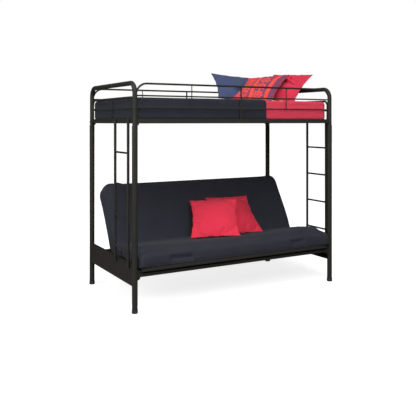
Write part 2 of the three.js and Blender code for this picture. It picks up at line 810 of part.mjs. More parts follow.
// A padded block with rounded edges, a crown on top and sides drawn in between its corners
function paddedBlock(size, round, crown, drawIn, [cellsX, cellsY, cellsZ]) {
  const half = size.clone().multiplyScalar(0.5);
  const geometry = new THREE.BoxGeometry(2, 2, 2, cellsX, cellsY, cellsZ);
  const place = geometry.attributes.position;
  const core = half.clone().subScalar(round);
  for (let i = 0; i < place.count; i += 1) {
    const point = at(
      crowded(place.getX(i), half.x, round, cellsX),
      crowded(place.getY(i), half.y, round, cellsY),
      crowded(place.getZ(i), half.z, round, cellsZ),
    );
    const heart = point.clone().clamp(core.clone().negate(), core);
    const edge = point.clone().sub(heart);
    const reach = Math.max(Math.abs(edge.x), Math.abs(edge.y), Math.abs(edge.z));
    if (reach > 0) {
      point.copy(heart).addScaledVector(edge, reach / edge.length());
    }
    const shareX = point.x / half.x;
    const shareY = point.y / half.y;
    const bowX = 1 - shareX * shareX;
    const bowY = 1 - shareY * shareY;
    point.x -= drawIn * shareX * shareX * shareX * bowY;
    point.y -= drawIn * shareY * shareY * shareY * bowX;
    if (point.z > 0) {
      point.z += crown * bowX * bowY;
    }
    place.setXYZ(i, point.x, point.y, point.z + half.z);
  }
  geometry.computeVertexNormals();
  return geometry;
}

// Rounds the two far corners of a padded block in plan
function roundFarCorners(geometry, halfWidth, far, radius) {
  const place = geometry.attributes.position;
  for (let i = 0; i < place.count; i += 1) {
    const x = place.getX(i);
    const y = place.getY(i);
    const overX = Math.abs(x) - (halfWidth - radius);
    const overY = y - (far - radius);
    if (overX > 0 && overY > 0) {
      const pull = Math.max(overX, overY) / Math.hypot(overX, overY);
      place.setX(i, Math.sign(x) * (halfWidth - radius + overX * pull));
      place.setY(i, far - radius + overY * pull);
    }
  }
  return geometry;
}

// Half of the futon mattress, drawn flat and cut off along the fold between seat and back
function futonCushion(length, overhang, height, round, cornerRadius) {
  const far = length + overhang;
  const size = at(futonMattressWidth, far, height);
  const geometry = paddedBlock(size, round, futonCrown, futonDrawIn, futonCells)
    .translate(0, far / 2, futonTubeHeight / 2 + fitGap);
  roundFarCorners(geometry, futonMattressWidth / 2, far, cornerRadius);
  const foldAngle = (180 - backLean - seatTilt) / 2 * degree;
  const wedge = block(
    at(-futonMattressWidth, -futonMattressWidth, -height),
    at(futonMattressWidth, fitGap, futonMattressWidth),
  ).rotateX(foldAngle - Math.PI / 2);
  return cut(geometry, [wedge]);
}

const seat = new THREE.Group();
seat.position.set(0, pivotY, pivotHeight);
seat.rotation.set(-seatTilt * degree, 0, Math.PI);
bed.add(seat);
addPiece(seat, 'seat_frame', futonFrame(seatFrameLength, 0, 0), 'powderCoat');
addPiece(seat, 'seat_slats', futonSlats(seatFrameLength, 0), 'powderCoat');
const seatCushion = addPiece(seat, 'seat_cushion', futonCushion(
  seatFrameLength, seatCushionOverhang, seatCushionHeight, seatCushionRound, seatCushionRound,
), 'navyCloth');

const back = new THREE.Group();
back.position.set(0, pivotY, pivotHeight);
back.rotation.x = backLean * degree;
bed.add(back);
const lugStep = lugThickness + fitGap;
addPiece(back, 'back_frame', futonFrame(backFrameLength, backFrameInset, -lugStep), 'powderCoat');
addPiece(back, 'back_slats', futonSlats(backFrameLength, backFrameInset), 'powderCoat');
const backCushion = addPiece(back, 'back_cushion', futonCushion(
  backFrameLength, backCushionOverhang, backCushionHeight, backCushionRound, backCushionCornerRadius,
), 'navyCloth');

// Domed rubber bumpers under the seat frame, which stand on the front stretcher
function seatBumper() {
  const radius = bumperDiameter / 2;
  const tilt = seatTilt * degree;
  const overStretcher = pivotFromFront / Math.cos(tilt);
  const underside = overStretcher * Math.sin(tilt) - futonTubeHeight / 2 * Math.cos(tilt);
  const drop = (pivotHeight + underside - stretcherTop - fitGap - radius) / Math.cos(tilt);
  const points = [new THREE.Vector2(0, -drop - radius)];
  for (let step = 1; step <= domeSteps; step += 1) {
    const angle = step / domeSteps * Math.PI / 2;
    points.push(new THREE.Vector2(radius * Math.sin(angle), -drop - radius * Math.cos(angle)));
  }
  points.push(new THREE.Vector2(radius, -fitGap), new THREE.Vector2(0, -fitGap));
  return new THREE.LatheGeometry(points, latheSides).rotateX(Math.PI / 2)
    .translate(0, overStretcher, -futonTubeHeight / 2);
}

for (const [endName, endSide] of ends) {
  const bumper = addPiece(seat, `seat_bumper_${endName}`, seatBumper(), 'plastic');
  bumper.position.x = -endSide * (futonFrameWidth / 2 - bumperFromEdge);
}

// Upper mattress
const mattress = addPiece(bed, 'upper_mattress', paddedBlock(
  at(mattressLength, mattressWidth, mattressHeight),
  mattressRound, mattressCrown, mattressDrawIn, mattressCells,
), 'crimsonCloth');
mattress.position.z = deckLedgeTop + fitGap + slatHeight + fitGap;

// Pillows: two sewn panels with drawn-in sides and pointed corners
function pillowForm(size, thickness) {
  const half = size / 2;
  const geometry = new THREE.BoxGeometry(2, 2, 2, pillowCells, pillowCells, 1);
  const place = geometry.attributes.position;
  for (let i = 0; i < place.count; i += 1) {
    const u = Math.sin(place.getX(i) * Math.PI / 2);
    const v = Math.sin(place.getY(i) * Math.PI / 2);
    const bow = (1 - u * u) * (1 - v * v);
    const puff = bow > 0 ? Math.pow(bow, pillowPuffShare) : 0;
    place.setXYZ(
      i,
      half * u * (1 - pillowDrawInShare * (1 - v * v)),
      half * v * (1 - pillowDrawInShare * (1 - u * u)),
      place.getZ(i) * thickness / 2 * puff,
    );
  }
  return weldSeam(geometry);
}

// Drops the flat side strips, so that the two panels share one seam
function weldSeam(geometry) {
  geometry.deleteAttribute('normal');
  geometry.deleteAttribute('uv');
  const welded = mergeVertices(geometry);
  const kept = [];
  const index = welded.index.array;
  for (let i = 0; i < index.length; i += 3) {
    const [a, b, c] = [index[i], index[i + 1], index[i + 2]];
    if (a !== b && b !== c && c !== a) {
      kept.push(a, b, c);
    }
  }
  welded.setIndex(kept);
  return welded;
}

function placedPillow({ sizeShare, thicknessShare, placeShares, turn }, base, growth) {
  const [yaw, lean, roll] = turn.map((value) => value * degree);
  const [shareX, shareY, shareZ] = placeShares;
  const stand = new THREE.Matrix4().makeRotationX(Math.PI / 2 - lean)
    .multiply(new THREE.Matrix4().makeRotationZ(roll));
  const pose = new THREE.Matrix4().makeRotationZ(-yaw).multiply(stand);
  pose.setPosition(shareX * postX, shareY * postY, base + shareZ * pillowSize);
  const size = sizeShare * pillowSize + growth;
  const thickness = thicknessShare * pillowThickness + growth;
  return pillowForm(size, thickness).applyMatrix4(pose);
}

// Each pillow gives way to what it lies on and to the pillows set down before it
function setPillows(pillows, base, supports) {
  const before = [...supports];
  for (const pillow of pillows) {
    addPiece(bed, pillow.name, cut(placedPillow(pillow, base, 0), before), pillow.finish);
    before.push(placedPillow(pillow, base, pillowGap));
  }
}

// What a pillow lies on, raised by the clearance between them
function support(piece) {
  piece.updateMatrix();
  piece.parent.updateMatrix();
  return piece.geometry.clone().translate(0, 0, fitGap)
    .applyMatrix4(piece.matrix).applyMatrix4(piece.parent.matrix);
}

const mattressTop = mattress.position.z + mattressHeight + mattressCrown;
const seatTop = pivotHeight + seatCushionHeight;
setPillows(upperPillows, mattressTop, [support(mattress)]);
setPillows(lowerPillows, seatTop, [support(seatCushion), support(backCushion)]);

// The origin lies on the floor under the middle of the whole bed
const wholeBox = new THREE.Box3().setFromObject(bed, true);
bed.position.y = -(wholeBox.min.y + wholeBox.max.y) / 2;

export default bed;
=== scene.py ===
# %% [markdown]
# # Dressing a futon bunk bed
#
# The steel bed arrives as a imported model: posts, hoops, guards, ladders and the futon's folding
# frames. Its mattresses and pillows are plain solids that only hold the space. This notebook
# gives the steel its powder coat, replaces every plain soft solid by sewn cloth, and adds the
# small fasteners. All lengths are in metres, X runs along the bed and Z points up.

import json
import math

import bmesh
import bpy
import numpy as np
from mathutils import Matrix, Vector, noise
from mathutils.bvhtree import BVHTree


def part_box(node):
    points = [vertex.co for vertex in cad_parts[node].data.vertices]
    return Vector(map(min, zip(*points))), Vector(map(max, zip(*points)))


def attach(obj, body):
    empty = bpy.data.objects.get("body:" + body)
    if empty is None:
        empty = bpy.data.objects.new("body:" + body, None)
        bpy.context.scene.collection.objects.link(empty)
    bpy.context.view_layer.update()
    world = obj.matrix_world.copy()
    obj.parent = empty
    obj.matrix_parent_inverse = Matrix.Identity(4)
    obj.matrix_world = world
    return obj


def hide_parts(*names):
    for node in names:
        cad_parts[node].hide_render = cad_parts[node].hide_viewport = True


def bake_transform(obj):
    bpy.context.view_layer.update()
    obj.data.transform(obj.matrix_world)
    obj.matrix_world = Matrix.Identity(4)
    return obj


def rounded(sides):
    return [round(side, 3) for side in sides]


def placed(name, data):
    """Adds an object to the scene."""
    made = bpy.data.objects.new(name, data)
    bpy.context.scene.collection.objects.link(made)
    return made


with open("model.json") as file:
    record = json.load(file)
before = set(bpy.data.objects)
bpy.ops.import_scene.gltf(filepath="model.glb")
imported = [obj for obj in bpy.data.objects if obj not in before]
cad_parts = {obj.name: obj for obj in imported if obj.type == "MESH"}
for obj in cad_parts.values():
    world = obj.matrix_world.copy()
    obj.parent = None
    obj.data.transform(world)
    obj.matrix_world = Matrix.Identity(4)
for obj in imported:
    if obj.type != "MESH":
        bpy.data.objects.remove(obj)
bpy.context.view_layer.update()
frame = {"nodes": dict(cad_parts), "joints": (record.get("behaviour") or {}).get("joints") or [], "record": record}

# %% [markdown]
# ## The camera
#
# The photograph was taken level, from the left of the bed's front, and its upright lines stay
# parallel. A level camera with a shifted lens does the same, where a tilted one would make the
# posts lean together. The focal length is kept in pixels of the photograph, which is how it
# was measured, and turned into millimetres of lens here.

# %% Camera
PHOTO_PIXELS = 416
FOCAL_PIXELS = 617
EYE_PIXEL = (210.0, 121.8)
CAMERA_PLACE = Vector((-2.820, -4.882, 1.470))
CAMERA_YAW = math.radians(29.8)

lens = bpy.data.cameras.new("photo_camera")
lens.sensor_width = 36
lens.lens = FOCAL_PIXELS / PHOTO_PIXELS * lens.sensor_width
lens.shift_x = 0.5 - EYE_PIXEL[0] / PHOTO_PIXELS
lens.shift_y = EYE_PIXEL[1] / PHOTO_PIXELS - 0.5
camera = placed("photo_camera", lens)
camera.location = CAMERA_PLACE
camera.rotation_euler = (math.radians(90), 0, -CAMERA_YAW)
bpy.context.scene.camera = camera
print(f"lens {lens.lens:.1f} mm, shift {lens.shift_x:.3f}, {lens.shift_y:.3f}")

# %% [markdown]
# ## Floor and light
#
# The bed stands in a white studio. The light comes from the left and from in front,
# so the left side of every tube is grey and the right side nearly black. A weak sky whose
# strength falls off away from that side fills the shadows with no hard edges. The camera
# itself sees plain white, and the floor glows for the camera only, most of all far from
# the bed, so that it stays white right up to the soft grey pool under the futon.

# %% Studio
FLOOR_SIDE = 60.0
WINDOW_WAY = Vector((-0.62, -0.62, 0.48)).normalized()
SKY_DARK, SKY_BRIGHT = 0.035, 0.28
FLOOR_GLOW = 0.81
FLOOR_BOUNCE = 0.30
FADE_START, FADE_END = 1.2, 2.6


def fill(owner, made, inputs):
    """Fills a node's inputs with values or links."""
    for socket, value in inputs.items():
        if isinstance(value, bpy.types.NodeSocket):
            owner.node_tree.links.new(value, made.inputs[socket])
        else:
            made.inputs[socket].default_value = value
    return made


def node(owner, kind, inputs=None, **settings):
    """Adds a shader node of a kind to a material or world, with its settings and inputs."""
    made = owner.node_tree.nodes.new("ShaderNode" + kind)
    for key, value in settings.items():
        setattr(made, key, value)
    return fill(owner, made, inputs or {})


def calc(owner, operation, *values):
    return node(owner, "Math", dict(enumerate(values)), operation=operation).outputs[0]


def times(owner, first, second):
    return calc(owner, "MULTIPLY", first, second)


def vector_calc(owner, operation, *values):
    made = node(owner, "VectorMath", dict(enumerate(values)), operation=operation)
    return made.outputs["Value" if operation in ("DOT_PRODUCT", "LENGTH") else "Vector"]


def remap(owner, value, start, end, low=0.0, high=1.0):
    """Carries a value from one range to another and holds it there at both ends."""
    return node(owner, "MapRange", {
        "Value": value, "From Min": start, "From Max": end, "To Min": low, "To Max": high}).outputs[0]


def tone_mix(owner, factor, first, second):
    """Mixes two colours, each three numbers or a socket."""
    first, second = (colour if isinstance(colour, bpy.types.NodeSocket) else (*colour, 1)
                     for colour in (first, second))
    return node(owner, "Mix", {"Factor": factor, "A": first, "B": second},
                data_type="RGBA").outputs["Result"]


def cloudy(owner, place, scale, detail, output="Fac"):
    return node(owner, "TexNoise", {
        "Vector": place, "Scale": scale, "Detail": detail}).outputs[output]


def object_place(mat):
    return node(mat, "TexCoord").outputs["Object"]


def camera_sees(owner):
    return node(owner, "LightPath").outputs["Is Camera Ray"]


def new_material(name):
    mat = bpy.data.materials.new(name)
    mat.use_nodes = True
    return mat


def finished(mat, inputs):
    """Fills the material's own shader."""
    fill(mat, mat.node_tree.nodes["Principled BSDF"], inputs)
    return mat


def floor_finish():
    mat = new_material("studio_floor")
    grain = cloudy(mat, object_place(mat), 40.0, 4.0)
    tone = tone_mix(mat, grain, (0.60, 0.60, 0.60), (0.62, 0.62, 0.62))
    seen = camera_sees(mat)
    away = vector_calc(mat, "LENGTH", node(mat, "NewGeometry").outputs["Position"])
    lift = remap(mat, away, FADE_START, FADE_END, FLOOR_GLOW, 1.0)
    return finished(mat, {
        "Base Color": tone_mix(mat, seen, (FLOOR_BOUNCE, FLOOR_BOUNCE, FLOOR_BOUNCE), tone),
        "Emission Color": (1, 1, 1, 1), "Emission Strength": times(mat, seen, lift),
        "Roughness": 0.9, "Specular IOR Level": 0.1})


def studio_sky():
    sky = bpy.data.worlds.new("studio_sky")
    sky.use_nodes = True
    toward = vector_calc(sky, "DOT_PRODUCT", node(sky, "TexCoord").outputs["Generated"], WINDOW_WAY)
    lit = fill(sky, sky.node_tree.nodes["Background"], {
        "Color": (1, 1, 1, 1), "Strength": remap(sky, toward, -0.25, 1.0, SKY_DARK, SKY_BRIGHT)})
    plain = node(sky, "Background", {"Color": (1, 1, 1, 1), "Strength": 1.0})
    both = node(sky, "MixShader", {0: camera_sees(sky), 1: lit.outputs[0], 2: plain.outputs[0]})
    fill(sky, sky.node_tree.nodes["World Output"], {"Surface": both.outputs[0]})
    return sky


def panel_light(name, place, aim, width, height, power):
    data = bpy.data.lights.new(name, "AREA")
    data.shape = "RECTANGLE"
    data.size = width
    data.size_y = height
    data.energy = power
    light = placed(name, data)
    light.location = place
    light.rotation_euler = (Vector(aim) - Vector(place)).to_track_quat("-Z", "Y").to_euler()


bpy.ops.mesh.primitive_plane_add(size=FLOOR_SIDE)
floor = bpy.context.active_object
floor.name = "studio_floor"
floor.data.materials.append(floor_finish())
bpy.context.scene.world = studio_sky()
bpy.context.scene.view_settings.view_transform = "Standard"
panel_light("key_panel", (-1.6, -3.0, 5.4), (0, -0.2, 0.8), 4.0, 3.0, 285)
panel_light("front_panel", (-1.2, -4.6, 3.4), (0, 0, 0.7), 3.0, 1.6, 95)
panel_light("left_panel", (-5.0, -1.0, 2.4), (0, 0, 1.0), 2.5, 2.5, 125)
print("studio: a floor of", FLOOR_SIDE, "m, a graded sky and three light panels")

# %% [markdown]
# ## Powder coat
#
# The tubes have a satin gunmetal powder coat. Powder melts into a skin with a faint orange peel,
# so a fine noise drives the bump and a broad one shifts colour and gloss a little along
# each tube. The Bevel node rounds the shading of sharp edges, and where it departs from
# the flat normal the coat is slightly rubbed, which gives the worn edges.

# %% Steel finishes
EDGE_ROUND = 0.0015
PEEL_SCALE = 700.0
DRIFT_SCALE = 6.0
COAT_SPECULAR = 0.10


def bump(mat, height, strength, distance, normal=None):
    inputs = {"Height": height, "Strength": strength, "Distance": distance}
    if normal is not None:
        inputs["Normal"] = normal
    return node(mat, "Bump", inputs).outputs["Normal"]


def coated_steel(name, dark, light, worn, roughness, metallic):
    mat = new_material(name)
    spot = object_place(mat)
    drift = cloudy(mat, spot, DRIFT_SCALE, 5.0)
    peel = cloudy(mat, spot, PEEL_SCALE, 2.0)
    soft = node(mat, "Bevel", {"Radius": EDGE_ROUND}, samples=4).outputs["Normal"]
    flat = node(mat, "NewGeometry").outputs["Normal"]
    rub = remap(mat, vector_calc(mat, "DOT_PRODUCT", soft, flat), 0.97, 0.80, 0.0, 0.6)
    return finished(mat, {
        "Base Color": tone_mix(mat, rub, tone_mix(mat, drift, dark, light), worn),
        "Roughness": remap(mat, drift, 0.0, 1.0, roughness - 0.06, roughness + 0.08),
        "Normal": bump(mat, peel, 0.25, 0.0002, soft),
        "Metallic": metallic, "Specular IOR Level": COAT_SPECULAR})


frame_coat = coated_steel(
    "gunmetal_powder_coat", (0.019, 0.0185, 0.0155), (0.026, 0.025, 0.0215), (0.056, 0.053, 0.046), 0.46, 0.0)
panel_coat = coated_steel(
    "sheet_panel_coat", (0.017, 0.0145, 0.0125), (0.022, 0.0185, 0.016), (0.046, 0.040, 0.034), 0.52, 0.0)
zinc = coated_steel("dull_zinc", (0.35, 0.36, 0.37), (0.48, 0.49, 0.50), (0.60, 0.60, 0.60), 0.36, 0.95)
black_bolt = coated_steel(
    "blackened_bolt_steel", (0.018, 0.018, 0.018), (0.030, 0.029, 0.028), (0.10, 0.10, 0.10), 0.34, 0.8)
print("steel finishes:", frame_coat.name, panel_coat.name, zinc.name, black_bolt.name)

# %% [markdown]
# ## Moulded black plastic and rubber
#
# Foot caps, rollers and the stop block are moulded. A mould leaves a fine spark texture and
# no grain direction, so a single Voronoi pattern a fraction of a millimetre across is
# enough, with a broad noise that greys the surface where hands and floors rub it.

# %% Plastic and rubber
SPARK_SCALE = 1600.0


def moulded(name, dark, light, roughness):
    mat = new_material(name)
    spot = object_place(mat)
    spark = node(mat, "TexVoronoi", {"Vector": spot, "Scale": SPARK_SCALE}).outputs["Distance"]
    return finished(mat, {
        "Base Color": tone_mix(mat, cloudy(mat, spot, 30.0, 6.0), dark, light),
        "Normal": bump(mat, spark, 0.3, 0.0002), "Roughness": roughness})


black_plastic = moulded("moulded_black_plastic", (0.010, 0.010, 0.010), (0.022, 0.022, 0.021), 0.55)
black_rubber = moulded("bumper_rubber", (0.012, 0.012, 0.012), (0.020, 0.019, 0.018), 0.8)
print("moulded finishes:", black_plastic.name, black_rubber.name)

# %% [markdown]
# ## Give each steel and plastic node its finish
#
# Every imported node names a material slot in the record. One table from slot to finish
# dresses all of them, so a finish is changed in one place.

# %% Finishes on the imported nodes
SLOT_FINISH = {
    "frame_coat": frame_coat,
    "panel_coat": panel_coat,
    "zinc_plate": zinc,
    "black_plastic": black_plastic,
    "black_rubber": black_rubber,
}


def paint(piece, mat):
    piece.data.materials.clear()
    piece.data.materials.append(mat)


painted = 0
for subpart in frame["record"]["subparts"]:
    finish = SLOT_FINISH.get(subpart["material_slot"])
    if finish:
        paint(frame["nodes"][subpart["node"]], finish)
        painted += 1
print(painted, "packed nodes painted")

# %% [markdown]
# ## Woven cloth
#
# Each cover is a plain weave. Remeshed cloth has no texture map, so the weave is worked out
# from the place of a point on the piece: two crossing sine waves in each of the three axis
# planes, blended by which way the surface faces. A little noise bends the threads and
# leaves some thicker than others, and sheen adds the soft light that fibres catch.

# %% Cloth finish
THREAD_PITCH = 0.0016


def sine_weave(mat, first, second, pitch):
    """Crossing threads over two coordinates: one wave times the other."""
    waves = [calc(mat, "SINE", times(mat, along, 2 * math.pi / pitch)) for along in (first, second)]
    return times(mat, *waves)


def weave_height(mat, pitch):
    """Height of a plain weave, whichever way the surface faces."""
    coords = node(mat, "TexCoord").outputs
    bend = cloudy(mat, coords["Object"], 60.0, 2.0, "Color")
    shift = vector_calc(mat, "MULTIPLY", bend, (pitch, pitch, pitch))
    bent = vector_calc(mat, "ADD", coords["Object"], shift)
    facing = vector_calc(mat, "MULTIPLY", coords["Normal"], coords["Normal"])
    place = node(mat, "SeparateXYZ", {0: bent}).outputs
    share = node(mat, "SeparateXYZ", {0: facing}).outputs
    parts = [times(mat, sine_weave(mat, place[first], place[second], pitch), share[axis])
             for axis, (first, second) in enumerate(((1, 2), (2, 0), (0, 1)))]
    return calc(mat, "ADD", parts[2], calc(mat, "ADD", parts[1], parts[0]))


def cloth(name, shade, bright, sheen, pitch=THREAD_PITCH, printed=None):
    mat = new_material(name)
    threads = weave_height(mat, pitch)
    spot = object_place(mat)
    slub = cloudy(mat, spot, 260.0, 2.0)
    ground = tone_mix(mat, cloudy(mat, spot, 7.0, 6.0), shade, bright)
    if printed:
        ground = printed(mat, ground)
    # The colour is darker in the hollows of the weave and lighter on the thread tops: painted shade and painted
    # highlight of the threads.
    weave_shade = remap(mat, threads, -1.0, 1.0, 0.80, 1.12)
    fleck = remap(mat, slub, 0.3, 0.7, 0.92, 1.08)
    shaded = node(mat, "HueSaturation", {
        "Color": ground, "Value": times(mat, weave_shade, fleck)})
    return finished(mat, {
        "Base Color": shaded.outputs["Color"],
        "Normal": bump(mat, calc(mat, "ADD", slub, threads), 0.35, 0.0004),
        "Roughness": 0.85, "Specular IOR Level": 0.12, "Sheen Weight": sheen, "Sheen Roughness": 0.5})


navy_cover = cloth("navy_cover_cloth", (0.020, 0.021, 0.029), (0.027, 0.0285, 0.039), 0.04)
crimson_sheet = cloth("crimson_sheet_cloth", (0.66, 0.050, 0.088), (0.75, 0.060, 0.104), 0.06, 0.001)
crimson_cloth = cloth("crimson_pillow_cloth", (0.56, 0.025, 0.053), (0.65, 0.032, 0.065), 0.06)
# A darker copy of the crimson pillow cloth for the pillow on the bunk: painted shade, since more light falls on it
# up there than on the pillows by the futon.
painted_shade_crimson_cloth = cloth("crimson_pillow_cloth_painted_shade", (0.45, 0.022, 0.050), (0.53, 0.028, 0.062), 0.06)
blue_cloth = cloth("blue_pillow_cloth", (0.037, 0.051, 0.115), (0.051, 0.067, 0.14), 0.10)
print("cloth finishes:", navy_cover.name, crimson_sheet.name, crimson_cloth.name, blue_cloth.name)

# %% [markdown]
# ## Meshes for soft pieces
#
# Soft blocks start as a grid over a box. Each point is drawn in towards a smaller inner
# box, which rounds every edge by the same radius, and the grid is crowded towards the
# edges so that the rounding has enough faces. A crown lifts the middle, and the sides
# are drawn in between the corners, as a stuffed cover's are.

# %% Soft block helper
EDGE_CELLS = 5


def box_grid(cells):
    """Points and quads over a box with that many cells along X, Y and Z, in shares from -1 to 1."""
    places, quads = {}, []
    for axis in range(3):
        across, up = (axis + 1) % 3, (axis + 2) % 3
        for side in (0, cells[axis]):
            for i in range(cells[across]):
                for j in range(cells[up]):
                    quad = []
                    for step, rise in ((0, 0), (1, 0), (1, 1), (0, 1)):
                        key = [0, 0, 0]
                        key[axis], key[across], key[up] = side, i + step, j + rise
                        quad.append(places.setdefault(tuple(key), len(places)))
                    quads.append(quad if side else quad[::-1])
    return np.array(list(places), float), quads


def crowded(index, cells, half, rounding):
    """Grid lines across a side: EDGE_CELLS of them in each rounded edge, the others between."""
    inner = half - rounding
    step = np.minimum(index, cells - index)
    edge = half - rounding * step / EDGE_CELLS
    side = np.where(index * 2 < cells, -1.0, 1.0)
    middle = inner * (2 * (index - EDGE_CELLS) / (cells - 2 * EDGE_CELLS) - 1)
    return np.where(step < EDGE_CELLS, side * edge, middle)


def soft_block(size, rounding, crown, draw_in, cell):
    """Points and quads of a padded block that stands on z = 0 and is centred in X and Y."""
    half = np.array(size) / 2
    cells = [2 * EDGE_CELLS + max(2, round(2 * (side - rounding) / cell)) for side in half]
    grid, quads = box_grid(cells)
    points = np.stack([crowded(grid[:, k], cells[k], half[k], rounding) for k in range(3)], 1)
    heart = np.clip(points, rounding - half, half - rounding)
    edge = points - heart
    length = np.linalg.norm(edge, axis=1)
    reach = np.abs(edge).max(1)
    points = heart + edge * np.divide(reach, length, out=np.zeros_like(reach), where=length > 0)[:, None]
    share = points / half
    bow_x, bow_y = 1 - share[:, 0] ** 2, 1 - share[:, 1] ** 2
    points[:, 0] -= draw_in * share[:, 0] ** 3 * bow_y
    points[:, 1] -= draw_in * share[:, 1] ** 3 * bow_x
    points[:, 2] += crown * np.maximum(share[:, 2], 0) * bow_x * bow_y + half[2]
    return points, quads


def mesh_piece(name, points, faces, mat, smooth=True):
    mesh = bpy.data.meshes.new(name)
    mesh.from_pydata([tuple(point) for point in points], [], faces)
    mesh.update()
    mesh.polygons.foreach_set("use_smooth", [smooth] * len(mesh.polygons))
    mesh.materials.append(mat)
    return placed(name, mesh)


def points_of(piece):
    points = np.zeros(len(piece.data.vertices) * 3)
    piece.data.vertices.foreach_get("co", points)
    return points.reshape(-1, 3)


def set_points(piece, points):
    piece.data.vertices.foreach_set("co", points.ravel())
    piece.data.update()


def baked(piece, *modifiers):
    """Applies modifiers, each a kind and its settings, by taking the evaluated mesh."""
    for kind, settings in modifiers:
        modifier = piece.modifiers.new(kind.lower(), kind)
        for key, value in settings.items():
            setattr(modifier, key, value)
    result = bpy.data.meshes.new_from_object(
        piece.evaluated_get(bpy.context.evaluated_depsgraph_get()))
    piece.modifiers.clear()
    piece.data = result
    result.polygons.foreach_set("use_smooth", [True] * len(result.polygons))
    return piece


print("each rounded edge has", EDGE_CELLS, "cells")

# %% [markdown]
# ## Cloth simulation
#
# Blender's Cloth with air pressure is what makes a cover look stuffed: the cloth is given
# some slack, the pressure pushes it out, and the surplus gathers into wrinkles near the seams.
# Gravity is off, since the filling carries its own weight. No point may end further from
# its start than a cap, so that the piece keeps its place among its neighbours.

# %% Inflate a cover
def inflate(piece, pressure, slack, frames, cap, stiffness=15.0, bending=0.4, held=None):
    """Simulates the cover for some frames and keeps the result, capped, as the piece's mesh."""
    start = points_of(piece)
    if held is not None:
        group = piece.vertex_groups.new(name="held")
        group.add([int(i) for i in np.flatnonzero(held)], 1.0, "REPLACE")
    modifier = piece.modifiers.new("cover", "CLOTH")
    settings = modifier.settings
    for key, value in {
            "quality": 5, "mass": 0.2, "tension_stiffness": stiffness, "compression_stiffness": stiffness,
            "shear_stiffness": stiffness / 3, "bending_stiffness": bending, "use_pressure": True,
            "uniform_pressure_force": pressure, "shrink_min": -slack}.items():
        setattr(settings, key, value)
    settings.effector_weights.gravity = 0
    if held is not None:
        settings.vertex_group_mass = "held"
    modifier.collision_settings.use_self_collision = False
    modifier.point_cache.frame_start = 1
    modifier.point_cache.frame_end = frames
    for number in range(1, frames + 1):
        bpy.context.scene.frame_set(number)
    shown = piece.evaluated_get(bpy.context.evaluated_depsgraph_get())
    after = np.zeros(len(shown.data.vertices) * 3)
    shown.data.vertices.foreach_get("co", after)
    piece.modifiers.clear()
    bpy.context.scene.frame_set(1)
    move = after.reshape(-1, 3) - start
    far = np.linalg.norm(move, axis=1)
    keep = np.minimum(1, cap / np.maximum(far, 1e-9))
    set_points(piece, start + move * keep[:, None])
    print(f"{piece.name}: moved {far.mean() * 1000:.1f} mm on average, {far.max() * 1000:.1f} at most")


# %% [markdown]
# ## Seams and folds
#
# A seam pulls its cloth down into a narrow groove, and a fold leaves a softer one. Both are pressed
# into the finished skin: each point moves inwards by an amount that fades with its distance
# from a line. This keeps working on a remeshed skin, which has no edge loops to follow.

# %% Press a line into a skin
def line_distance(points, line):
    far = np.full(len(points), np.inf)
    for start, end in zip(line, line[1:]):
        start, way = np.array(start), np.array(end) - np.array(start)
        along = np.clip((points - start) @ way / (way @ way), 0, 1)
        far = np.minimum(far, np.linalg.norm(points - start - along[:, None] * way, axis=1))
    return far


def pressed(piece, lines, depth, width):
    """Presses soft grooves of one depth and width along lines, or raises ridges by a negative depth."""
    points = points_of(piece)
    normals = np.zeros(len(points) * 3)
    piece.data.vertex_normals.foreach_get("vector", normals)
    far = np.min([line_distance(points, line) for line in lines], axis=0)
    push = depth * np.exp(-(far / width) ** 2)
    set_points(piece, points - normals.reshape(-1, 3) * push[:, None])


# %% [markdown]
# ## The futon mattress
#
# The sofa's seat and back are one long mattress, folded where the two steel frames hinge. Two
# padded blocks are laid along the frames and melted into one skin by a voxel remesh, which
# closes the fold the way the real filling does.

# %% Futon mattress
joints = {joint["name"]: joint for joint in frame["joints"]}
PIVOT = Vector(joints["seat_tilt"]["pos_m"])
SEAT_TILT = math.radians(joints["seat_tilt"]["range_deg"][1])
BACK_LEAN = math.radians(joints["back_recline"]["range_deg"][1]) - SEAT_TILT
DECK_LIFT = 0.0148
FUTON_HALF = 0.939
SEAT_REACH, SEAT_HEIGHT = 0.662, 0.150
BACK_REACH, BACK_HEIGHT = 0.696, 0.160
FUTON_ROUND = 0.038
BACK_CORNER = 0.098
FUTON_VOXEL = 0.013
SEAT_TOP, BACK_TOP = 0.153, 0.172
NOSE_SWELL = 0.014
NOSE_SINK = 0.96
ROLL_DEPTH, ROLL_DROP = 0.17, 0.050
END_FILL = (0.006, 0.014)

half_turn = Matrix.Rotation(math.pi, 4, "Z")
seat_place = Matrix.Translation(PIVOT) @ Matrix.Rotation(-SEAT_TILT, 4, "X") @ half_turn
back_place = Matrix.Translation(PIVOT) @ Matrix.Rotation(BACK_LEAN, 4, "X")


def moved(points, matrix):
    turn = np.array(matrix.to_3x3())
    return points @ turn.T + np.array(matrix.translation)


def round_far_corners(points, half_width, far, radius, rounding):
    """Rounds the two far corners of a block in plan from their own rounding to a larger radius."""
    over_x = np.abs(points[:, 0]) - (half_width - radius)
    over_y = points[:, 1] - (far - radius)
    both = (over_x > 0) & (over_y > 0)
    angle = np.arctan2(over_y, over_x)
    cosine, sine = np.cos(angle), np.sin(angle)
    core = radius - rounding
    middle = core * (cosine + sine)
    curved = middle + np.sqrt(np.maximum(middle ** 2 - 2 * core ** 2 + rounding ** 2, 0))
    straight = radius / np.maximum(cosine, sine)
    on_curve = radius * np.minimum(cosine, sine) / np.maximum(cosine, sine) > core
    pull = radius / np.where(on_curve, curved, straight)
    points[both, 0] = (np.sign(points[:, 0]) * (half_width - radius + over_x * pull))[both]
    points[both, 1] = (far - radius + over_y * pull)[both]
    return points


def futon_half(reach, height, corner):
    points, quads = soft_block((2 * FUTON_HALF, reach, height), FUTON_ROUND, 0.0, 0.0, 0.03)
    points += (0, reach / 2, DECK_LIFT)
    return round_far_corners(points, FUTON_HALF, reach, corner, FUTON_ROUND), quads


